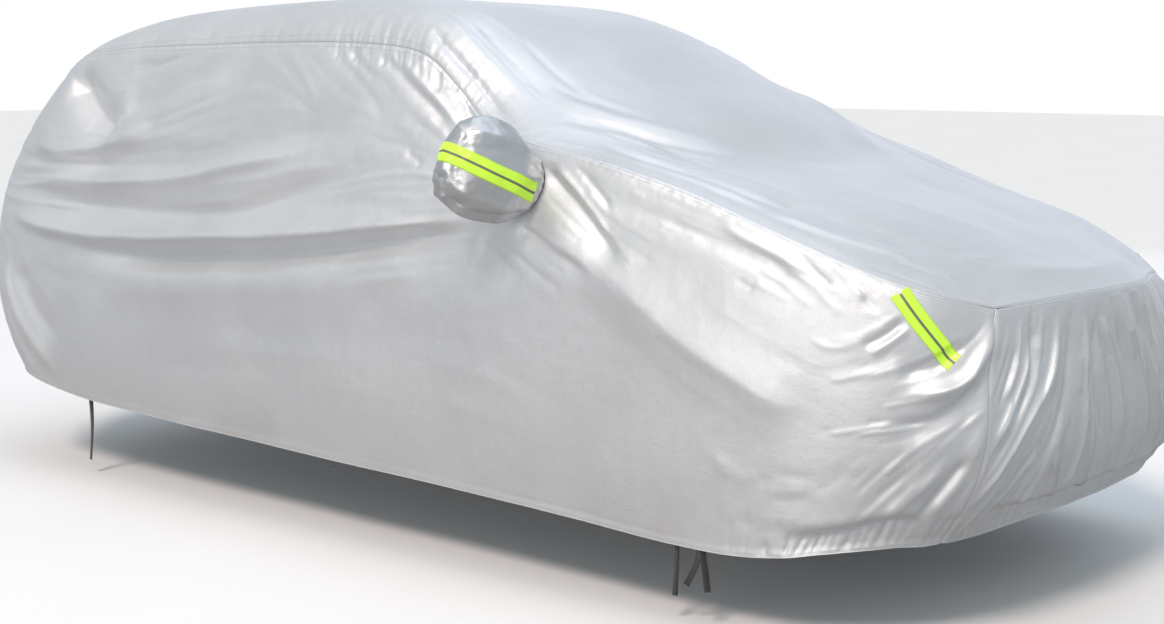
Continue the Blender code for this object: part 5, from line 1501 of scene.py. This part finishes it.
def pocket_surface(side):
    """Creased surface of a pocket: rows from its mouth to its tip, turns round it."""
    pocket = POCKETS[side]
    turns = np.linspace(-180, 180, POCKET_TURNS, endpoint=False)
    turn = np.radians(turns)
    rim = STORE[("rim", side)]
    angle = np.degrees(np.arctan2((rim[:, 2] - pocket.z) / POCKET_MOUTH[1],
                                  (rim[:, 0] - pocket.x) / POCKET_MOUTH[0]))
    order = np.argsort(angle)
    depth = np.interp(turns, angle[order], rim[order, 1], period=360)
    mouth = np.stack([pocket.x + POCKET_MOUTH[0] * np.cos(turn), depth,
                      pocket.z + POCKET_MOUTH[1] * np.sin(turn)], axis=-1)
    square = Vector((0, side, WALL_LEAN))
    leaning = Vector((pocket.forward, side * pocket.outward, pocket.up))
    centre, before = Vector(mouth.mean(axis=0)), 0.0
    rings = [mouth]
    for out, half_height, half_depth, _ in POCKET_RINGS:
        axis = square.lerp(leaning, out / POCKET_RINGS[-1, 0]).normalized()
        centre = centre + axis * (out - before) * pocket.size
        before = out
        up = Vector((0, 0, 1))
        up = (up - axis * up.dot(axis)).normalized() * half_height * pocket.size
        front = axis.cross(up).normalized() * side * half_depth * pocket.size
        rings.append(np.array(centre) + np.outer(np.cos(turn), front) + np.outer(np.sin(turn), up))
    last, before_last = rings[-1].mean(axis=0), rings[-2].mean(axis=0)
    tip = last + (last - before_last) * TIP_ROUNDING
    rings.append(np.repeat(tip[None], POCKET_TURNS, axis=0))
    rings = np.array(rings)
    at = np.linspace(0, len(rings) - 1, POCKET_ROWS)
    low = np.minimum(at.astype(int), len(rings) - 2)
    ends = np.concatenate([2 * rings[:1] - rings[1:2], rings, rings[-2:-1]])
    part = (at - low)[:, None, None]
    plain = curve_point(ends[low], ends[low + 1], ends[low + 2], ends[low + 3], part)
    shares = at / at[-1]
    wrapped = np.concatenate([plain[:, -1:], plain, plain[:, :1]], axis=1)
    normal = np.cross(np.gradient(wrapped, axis=1), np.gradient(wrapped, axis=0))[:, 1:-1]
    normal /= np.maximum(np.linalg.norm(normal, axis=-1, keepdims=True), 1e-9)
    middle = plain.mean(axis=(0, 1))
    if np.einsum("ijk,ijk->", normal, plain - middle) < 0:
        normal = -normal
    normal[-1] = normal[-2].mean(axis=0)
    high = np.zeros(plain.shape[:2])
    for a0, r0, a1, r1, height, wide in POCKET_CREASES:
        step = np.array([(a1 - a0) / 360, r1 - r0])
        da = (turns[None, :] - a0) / 360
        da = da - np.round(da)
        dr = shares[:, None] - r0
        run = np.clip((da * step[0] + dr * step[1]) / (step @ step), 0, 1)
        gap = np.hypot(da - run * step[0], (dr - run * step[1]) * 0.8)
        fade = smooth(run / 0.2 + 0.3) * smooth((1 - run) / 0.3)
        high += height * MM * pocket.size * fade * np.exp(-(gap / wide) ** CRISP)
    (sharp, sharp_size, sharp_seed), (soft, soft_size, soft_seed) = POCKET_CRUMPLES, POCKET_WAVES
    high += (sharp * crumple(plain, sharp_size, sharp_seed + side)
             + soft * uneven(plain, soft_size, soft_seed + side))
    gathers = np.sin(turn * MOUTH_GATHERS + 2 * np.sin(turn * 3))
    high += GATHERS_DEEP * gathers[None, :] * np.exp(-(shares[:, None] / GATHERS_LONG) ** 2)
    edge = smooth(shares / MOUTH_FADE)[:, None] * smooth((1 - shares) / TIP_FADE)[:, None]
    high = high * edge - MOUTH_DEEP * np.exp(-(shares[:, None] / MOUTH_GROOVE) ** 2)
    return plain + normal * high[..., None], normal, turns, shares


def closed_faces(rows, columns, flip):
    i, j = np.meshgrid(np.arange(rows - 1), np.arange(columns), indexing="ij")
    k = (j + 1) % columns
    quads = np.stack([i * columns + j, i * columns + k, (i + 1) * columns + k,
                      (i + 1) * columns + j], axis=-1).reshape(-1, 4)
    return quads[:, ::-1] if flip else quads


class CoverPockets(bpy.types.Operator):
    """Mirror pockets with their bands of reflective tape"""
    bl_idname = "car_cover.pockets"
    bl_label = "Mirror pockets"

    def execute(self, context):
        cloth = context.scene.cover_cloth
        trim = context.scene.cover_trim
        for side, word in SIDES.items():
            surface, normal, turns, shares = pocket_surface(side)
            rows, columns = surface.shape[:2]
            material = material_of("pocket cloth", cloth_material, tuple(cloth.pocket), cloth,
                                   *POCKET_FINISH)
            around = np.radians(turns) * POCKET_ROUND
            uvs = np.stack(np.meshgrid(shares * POCKET_LONG, around, indexing="ij"), axis=-1)
            faces = closed_faces(rows - 1, columns, side < 0)
            tip = (rows - 2) * columns
            fan = [(tip + j, tip + (j + 1) % columns, tip + columns) for j in range(columns)]
            faces = [tuple(face) for face in faces]
            faces += [face if side > 0 else face[::-1] for face in fan]
            piece = mesh_piece("pocket_cloth_" + word, surface, faces, material, uvs)
            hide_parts("mirror_pocket_" + word)
            size = POCKETS[side].size
            tape = self.tape_grid(surface, normal, turns, shares, size, trim.tape_width)
            band_piece(*tape, "pocket_band_" + word, "pocket_tape_" + word, trim)
        return {"FINISHED"}

    def tape_grid(self, surface, normal, turns, shares, size, width):
        """Places on the pocket for a band from near its mouth to its tip."""
        at = np.linspace(*TAPE_RUN)
        rings = rows_at(np.vstack([MOUTH_RING, POCKET_RINGS, TIP_RING]), at)
        share = at / (len(POCKET_RINGS) + 1)
        lane = np.linspace(-0.5, 0.5, TAPE_LANES)
        half_height = np.maximum(rings[:, 1] * size, width * TAPE_STEEPEST)
        angle = rings[:, 3][:, None] + np.degrees(np.arcsin(np.clip(
            lane[None, :] * width / half_height[:, None], -0.9, 0.9)))
        column = (angle + 180) / 360 * len(turns)
        row = np.broadcast_to(share[:, None] * (len(shares) - 1), column.shape)
        made = []
        for source in (surface, normal):
            low_r = np.clip(np.floor(row).astype(int), 0, len(shares) - 2)
            low_c = np.floor(column).astype(int)
            pr, pc = (row - low_r)[..., None], (column - low_c)[..., None]
            c0, c1 = low_c % len(turns), (low_c + 1) % len(turns)
            made.append(source[low_r, c0] * (1 - pr) * (1 - pc)
                        + source[low_r + 1, c0] * pr * (1 - pc)
                        + source[low_r, c1] * (1 - pr) * pc + source[low_r + 1, c1] * pr * pc)
        place, out = made
        return place + out * TAPE_LIFT, out, lane * width


def band_piece(place, out, lane, name, node, trim):
    """A band of tape with its cut edges turned down to the cloth."""
    low = out * TAPE_EDGE
    grid = np.concatenate([place[:, :1] - low[:, :1], place, place[:, -1:] - low[:, -1:]], axis=1)
    run = run_along(place[:, place.shape[1] // 2])
    across = np.concatenate([lane[:1], lane, lane[-1:]])
    uvs = np.stack(np.meshgrid(run, across, indexing="ij"), axis=-1)
    normal = np.cross(np.diff(grid, axis=0)[:, :-1], np.diff(grid, axis=1)[:-1])
    flip = np.einsum("ijk,ijk->", normal, np.pad(out, ((0, 0), (1, 1), (0, 0)),
                                                 mode="edge")[:-1, :-1]) < 0
    material = material_of("reflective tape", tape_material, trim)
    piece = mesh_piece(name, grid, grid_faces(*grid.shape[:2], flip), material, uvs)
    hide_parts(node)
    wide = float(np.linalg.norm(place[:, -1] - place[:, 0], axis=1).max())


STRIP_FOOT, STRIP_TOP = 0.765, 0.980         # shares of the side's height
STRIP_STATION = 13.54                # middle of the strip at the seam
STRIP_LEAN = 0.92                    # stations by which its foot lies further forward
STRIP_WIDTH = 0.052
STRIP_STEPS, STRIP_LANES = 40, 11


class CoverStrips(bpy.types.Operator):
    """Reflective strips on the front corners"""
    bl_idname = "car_cover.strips"
    bl_label = "Corner strips"

    def execute(self, context):
        trim = context.scene.cover_trim
        cloth = cloth_store()["cloth"]
        for side, word in SIDES.items():
            share = np.linspace(STRIP_FOOT, STRIP_TOP, STRIP_STEPS)
            station = STRIP_STATION + STRIP_LEAN * (1 - share) / (1 - STRIP_FOOT)
            middle = side_points(station, share, side)
            ahead = np.gradient(middle, axis=0)
            beside = side_points(station + 0.1, share, side) - middle
            across = unit(np.cross(ahead, np.cross(beside, ahead)))
            lane = np.linspace(-0.5, 0.5, STRIP_LANES) * STRIP_WIDTH
            wanted = middle[:, None] + across[:, None] * lane[None, :, None]
            base = side_at(wanted[..., 0], wanted[..., 2], side)
            normal = grid_normals(base)
            if (normal[..., 1] * side).sum() < 0:
                normal = -normal
            seam = np.linalg.norm(base - middle[-1], axis=-1)
            high = cloth.height(base, seam)
            place = base + normal * (high + TAPE_LIFT)[..., None]
            band_piece(place, normal, lane, "corner_band_" + word, "corner_strip_" + word, trim)
        return {"FINISHED"}


STRAP_INSET = 0.0050                 # how far straps and hooks hang behind the hem's face
STRAP_TWIST, STRAP_BOW, STRAP_THICK = 0.25, 0.004, 0.0014
STRAP_STEPS, STRAP_LANES = 14, 5
# half width at which a strap hangs, and its path (x, height)
STRAPS = {
    "strap_rear": (0.885, ((-2.650, 0.300), (-2.652, 0.180), (-2.660, 0.050))),
    "strap_front": (0.898, ((0.020, 0.245), (0.020, 0.150), (0.018, 0.070))),
    "strap_front_loop": (0.898, ((0.052, 0.105), (0.085, 0.165), (0.102, 0.218),
                                 (0.118, 0.165), (0.128, 0.100))),
}


class CoverStraps(bpy.types.Operator):
    """Webbing straps that hang behind the side hems"""
    bl_idname = "car_cover.straps"
    bl_label = "Straps"

    def execute(self, context):
        trim = context.scene.cover_trim
        material = material_of("black webbing", webbing_material, trim)
        for side, word in SIDES.items():
            for seed, (name, (half_width, path)) in enumerate(STRAPS.items()):
                spots = smooth_path(path, STRAP_STEPS)
                lane = np.linspace(-0.5, 0.5, STRAP_LANES) * trim.webbing_width
                along = unit(np.gradient(spots, axis=0))
                across = np.stack([along[:, 1], -along[:, 0]], axis=1)
                run = run_along(spots)
                twist = STRAP_TWIST * np.sin(run * 11 + seed * 2 + side)
                x = spots[:, :1] + across[:, :1] * lane * np.cos(twist)[:, None]
                z = spots[:, 1:] + across[:, 1:] * lane * np.cos(twist)[:, None]
                bow = STRAP_BOW * np.sin(run * 14 + seed)[:, None]
                y = side * (half_width - STRAP_INSET) - side * bow + np.sin(twist)[:, None] * lane
                front = np.stack([x, y, z], axis=-1)
                back = front - np.array([0, side * STRAP_THICK, 0])
                ring = np.concatenate([front, back[:, ::-1]], axis=1)
                flat = np.concatenate([lane, lane[::-1]])
                uvs = np.stack(np.meshgrid(run, flat, indexing="ij"), axis=-1)
                faces = [tuple(f) for f in closed_faces(*ring.shape[:2], side < 0)]
                count = ring.shape[1]
                last = (ring.shape[0] - 1) * count
                caps = [tuple(range(count)), tuple(range(last + count - 1, last - 1, -1))]
                faces += [cap[::-1] if side < 0 else cap for cap in caps]
                piece = mesh_piece(name.replace("strap", "webbing") + "_" + word, ring, faces,
                                   material, uvs)
                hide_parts(name + "_" + word)
        return {"FINISHED"}


HOOK_PLACE = (-1.335, 0.890)         # x and half width
HOOK_SIZE = (0.014, 0.262, 0.208)    # half width of the U, heights of its ends and its foot
HOOK_RADIUS = 0.0016
HOOK_TURNS = 16


class CoverHooks(bpy.types.Operator):
    """Small plastic U hooks under the middle of the side hems"""
    bl_idname = "car_cover.hooks"
    bl_label = "Hem hooks"

    def execute(self, context):
        trim = context.scene.cover_trim
        material = material_of("hook plastic", hook_material, tuple(trim.hook_colour))
        half, top, foot = HOOK_SIZE
        for side, word in SIDES.items():
            curve = bpy.data.curves.new("hem_hook_" + word, "CURVE")
            curve.dimensions = "3D"
            curve.bevel_depth = HOOK_RADIUS
            curve.bevel_resolution = 4
            curve.use_fill_caps = True
            turns = [math.pi * k / HOOK_TURNS for k in range(HOOK_TURNS + 1)]
            bow = [(-half * math.cos(t), foot + half - half * math.sin(t)) for t in turns]
            points = [(-half, top)] + bow + [(half, top)]
            spline = curve.splines.new("POLY")
            spline.points.add(len(points) - 1)
            for place, (x, z) in zip(spline.points, points):
                place.co = (HOOK_PLACE[0] + x - MOUNT_X, side * (HOOK_PLACE[1] - STRAP_INSET),
                            z - MOUNT_Z, 1.0)
            curve.materials.append(material)
            piece = bpy.data.objects.new("hem_hook_" + word, curve)
            cover_collection().objects.link(piece)
            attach(piece, "root")
            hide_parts("hem_loop_" + word)
        return {"FINISHED"}


STITCH = (0.0060, 0.0009, 0.0007)    # length, width and height of one stitch
STITCH_PITCH = 0.0095
STITCH_END = 0.0004                  # how far its rounded ends reach
STITCH_SINK = 0.3                    # how deep they sit, in heights of a stitch
HEM_STITCH_DROP = 2.5                # mm from the top of the hem down to its stitching
SEAM_ROW = 3                         # rows of the mesh between a seam and its stitching


def stitch_lines():
    """Lines of stitching beside the seams and along the top of the hem."""
    store = cloth_store()
    made, normals = store["made"], store["normals"]
    hems = len(HEM_PROFILE)
    lines = []
    for key in ("right", "left", "nose", "tail"):
        grid, normal = made[key], wide_normals(normals[key])
        rise = np.linalg.norm(store["grids"][key] - store["grids"][key][:, :1], axis=-1)
        sewn = (HEM_TALL - HEM_STITCH_DROP) * MM
        row = hems + int(np.argmin(np.abs(rise[rise.shape[0] // 2] - sewn)))
        lines += [(grid[:, at], normal[:, at]) for at in (row, -1 - SEAM_ROW)]
    top, normal = made["top"], normals["top"]
    ends = (SEAM_ROW, -1 - SEAM_ROW)
    return (lines + [(top[:, at], normal[:, at]) for at in ends]
            + [(top[at], normal[at]) for at in ends])


class CoverStitching(bpy.types.Operator):
    """Sewing thread along the seams and the hem"""
    bl_idname = "car_cover.stitching"
    bl_label = "Stitching"

    def execute(self, context):
        material = material_of("sewing thread", thread_material,
                               tuple(context.scene.cover_cloth.thread))
        points, faces = [], []
        long, wide, tall = STITCH
        for line, out in stitch_lines():
            run = run_along(line)
            at = np.arange(STITCH_PITCH, run[-1] - STITCH_PITCH, STITCH_PITCH)

            def spot(source, places):
                return np.stack([np.interp(places, run, source[:, k]) for k in range(3)], axis=-1)

            one, two = spot(line, at - long / 2), spot(line, at + long / 2)
            up, ahead = unit(spot(out, at)), unit(two - one)
            beside = np.cross(up, ahead) * wide / 2
            for k in range(len(at)):
                base = len(points)
                lift = up[k] * tall
                for end, push in ((one[k], -ahead[k]), (two[k], ahead[k])):
                    points += [end + push * STITCH_END - lift * STITCH_SINK, end + beside[k],
                               end + lift, end - beside[k]]
                faces += [(base, base + 1, base + 2, base + 3),
                          (base + 7, base + 6, base + 5, base + 4)]
                faces += [(base + a, base + 4 + a, base + 4 + b, base + b)
                          for a, b in ((0, 1), (1, 2), (2, 3), (3, 0))]
        piece = mesh_piece("stitching", np.array(points), faces, material)
        return {"FINISHED"}


FLOOR_SIZE, FLOOR_CELLS = 40, 4
# Area lights by the setting that holds their power.
Lamp = namedtuple("Lamp", "place aim size colour")
LAMPS = {
    "side": Lamp((1.6, -7.0, 0.0), (1.9, -0.9, -1.1), (4.0, 1.6), (1.0, 0.93, 0.87)),
    "sky": Lamp((0.6, 0.4, 4.6), (0.4, 0.0, 0.0), (6.0, 4.0), (0.80, 0.86, 1.0)),
    "back": Lamp((-2.0, 8.0, 2.0), (0.6, 0.0, -0.6), (10.0, 3.0), (0.72, 0.76, 1.0)),
}
KEY_WAY, KEY_COLOUR = Vector((-0.16, 0.62, -0.77)), (1.0, 0.85, 0.77)
KEY_ANGLE = math.radians(16.0)
WORLD_COLOUR, WORLD_STRENGTH = (0.84, 0.94, 1.0, 1.0), 0.65
BACKDROP = (1.0, 1.0, 1.0, 1.0)      # what the camera sees beyond the floor
CAMERA_PLACE = (4.60, -4.65, -0.183)
CAMERA_TURN = Euler((math.radians(82.0), 0.0, math.radians(40.5)))
SENSOR_WIDTH, FARTHEST = 36.0, 200.0


def turned_to(way):
    """Rotation that points a light along a way."""
    return way.to_track_quat("-Z", "Y").to_euler()


def placed(name, data, location, rotation):
    """A light or camera in the scene."""
    item = bpy.data.objects.new(name, data)
    item.location = location
    item.rotation_euler = rotation
    bpy.context.scene.collection.objects.link(item)
    return item


class CoverStage(bpy.types.Operator):
    """Pale floor, soft studio light and the camera"""
    bl_idname = "car_cover.stage"
    bl_label = "Stage"

    def add_floor(self, stage):
        mesh = bpy.data.meshes.new("studio_floor")
        edit = bmesh.new()
        bmesh.ops.create_grid(edit, x_segments=FLOOR_CELLS, y_segments=FLOOR_CELLS,
                              size=FLOOR_SIZE)
        edit.to_mesh(mesh)
        edit.free()
        mesh.materials.append(floor_material("studio floor", tuple(stage.floor_colour)))
        floor = placed("studio_floor", mesh, (0, 0, -MOUNT_Z), (0, 0, 0))

    def add_lights(self, stage):
        key = bpy.data.lights.new("key", "SUN")
        key.energy, key.color, key.angle = stage.key, KEY_COLOUR, KEY_ANGLE
        placed("key", key, (0, 0, 0), turned_to(KEY_WAY))
        for name, (place, aim, size, colour) in LAMPS.items():
            lamp = bpy.data.lights.new(name, "AREA")
            lamp.shape = "RECTANGLE"
            lamp.size, lamp.size_y = size
            lamp.energy = getattr(stage, name)
            lamp.color = colour
            placed(name, lamp, place, turned_to(Vector(aim) - Vector(place)))

    def add_world(self, scene):
        """A pale sky that the camera sees as plain white."""
        world = bpy.data.worlds.new("studio")
        world.use_nodes = True
        tree = world.node_tree
        sky = tree.nodes["Background"]
        sky.inputs["Color"].default_value = WORLD_COLOUR
        sky.inputs["Strength"].default_value = WORLD_STRENGTH
        white = tree.nodes.new("ShaderNodeBackground")
        white.inputs["Color"].default_value = BACKDROP
        path = tree.nodes.new("ShaderNodeLightPath")
        mix = tree.nodes.new("ShaderNodeMixShader")
        tree.links.new(path.outputs["Is Camera Ray"], mix.inputs[0])
        tree.links.new(sky.outputs[0], mix.inputs[1])
        tree.links.new(white.outputs[0], mix.inputs[2])
        tree.links.new(mix.outputs[0], tree.nodes["World Output"].inputs["Surface"])
        scene.world = world
        scene.view_settings.view_transform = "Standard"

    def execute(self, context):
        stage = context.scene.cover_stage
        self.add_floor(stage)
        self.add_lights(stage)
        self.add_world(context.scene)
        camera = bpy.data.cameras.new("camera")
        camera.lens = stage.lens
        camera.sensor_width = SENSOR_WIDTH
        camera.clip_end = FARTHEST
        context.scene.camera = placed("camera", camera, CAMERA_PLACE, CAMERA_TURN)
        return {"FINISHED"}


STEPS = (CoverTop, CoverSides, CoverEnds, CoverPockets, CoverStrips, CoverStraps, CoverHooks,
         CoverStitching, CoverStage)
GROUPS = {"cover_cloth": CoverClothSettings, "cover_trim": CoverTrimSettings,
          "cover_stage": CoverStageSettings}


class CoverPanel(bpy.types.Panel):
    """The cover's pieces and settings"""
    bl_idname = "VIEW3D_PT_car_cover"
    bl_label = "Car cover"
    bl_space_type = "VIEW_3D"
    bl_region_type = "UI"
    bl_category = "Car cover"

    def draw(self, context):
        for step in STEPS:
            self.layout.operator(step.bl_idname)
        for name, group in GROUPS.items():
            box = self.layout.box()
            for key in group.__annotations__:
                box.prop(getattr(context.scene, name), key)


def register():
    for item in (*GROUPS.values(), *STEPS, CoverPanel):
        bpy.utils.register_class(item)
    for name, group in GROUPS.items():
        setattr(bpy.types.Scene, name, bpy.props.PointerProperty(type=group))


def unregister():
    for name in GROUPS:
        delattr(bpy.types.Scene, name)
    for item in reversed((*GROUPS.values(), *STEPS, CoverPanel)):
        bpy.utils.unregister_class(item)


def main():
    register()
    for step in STEPS:
        group, call = step.bl_idname.split(".")
        getattr(getattr(bpy.ops, group), call)()


if __name__ == "__main__":
    main()
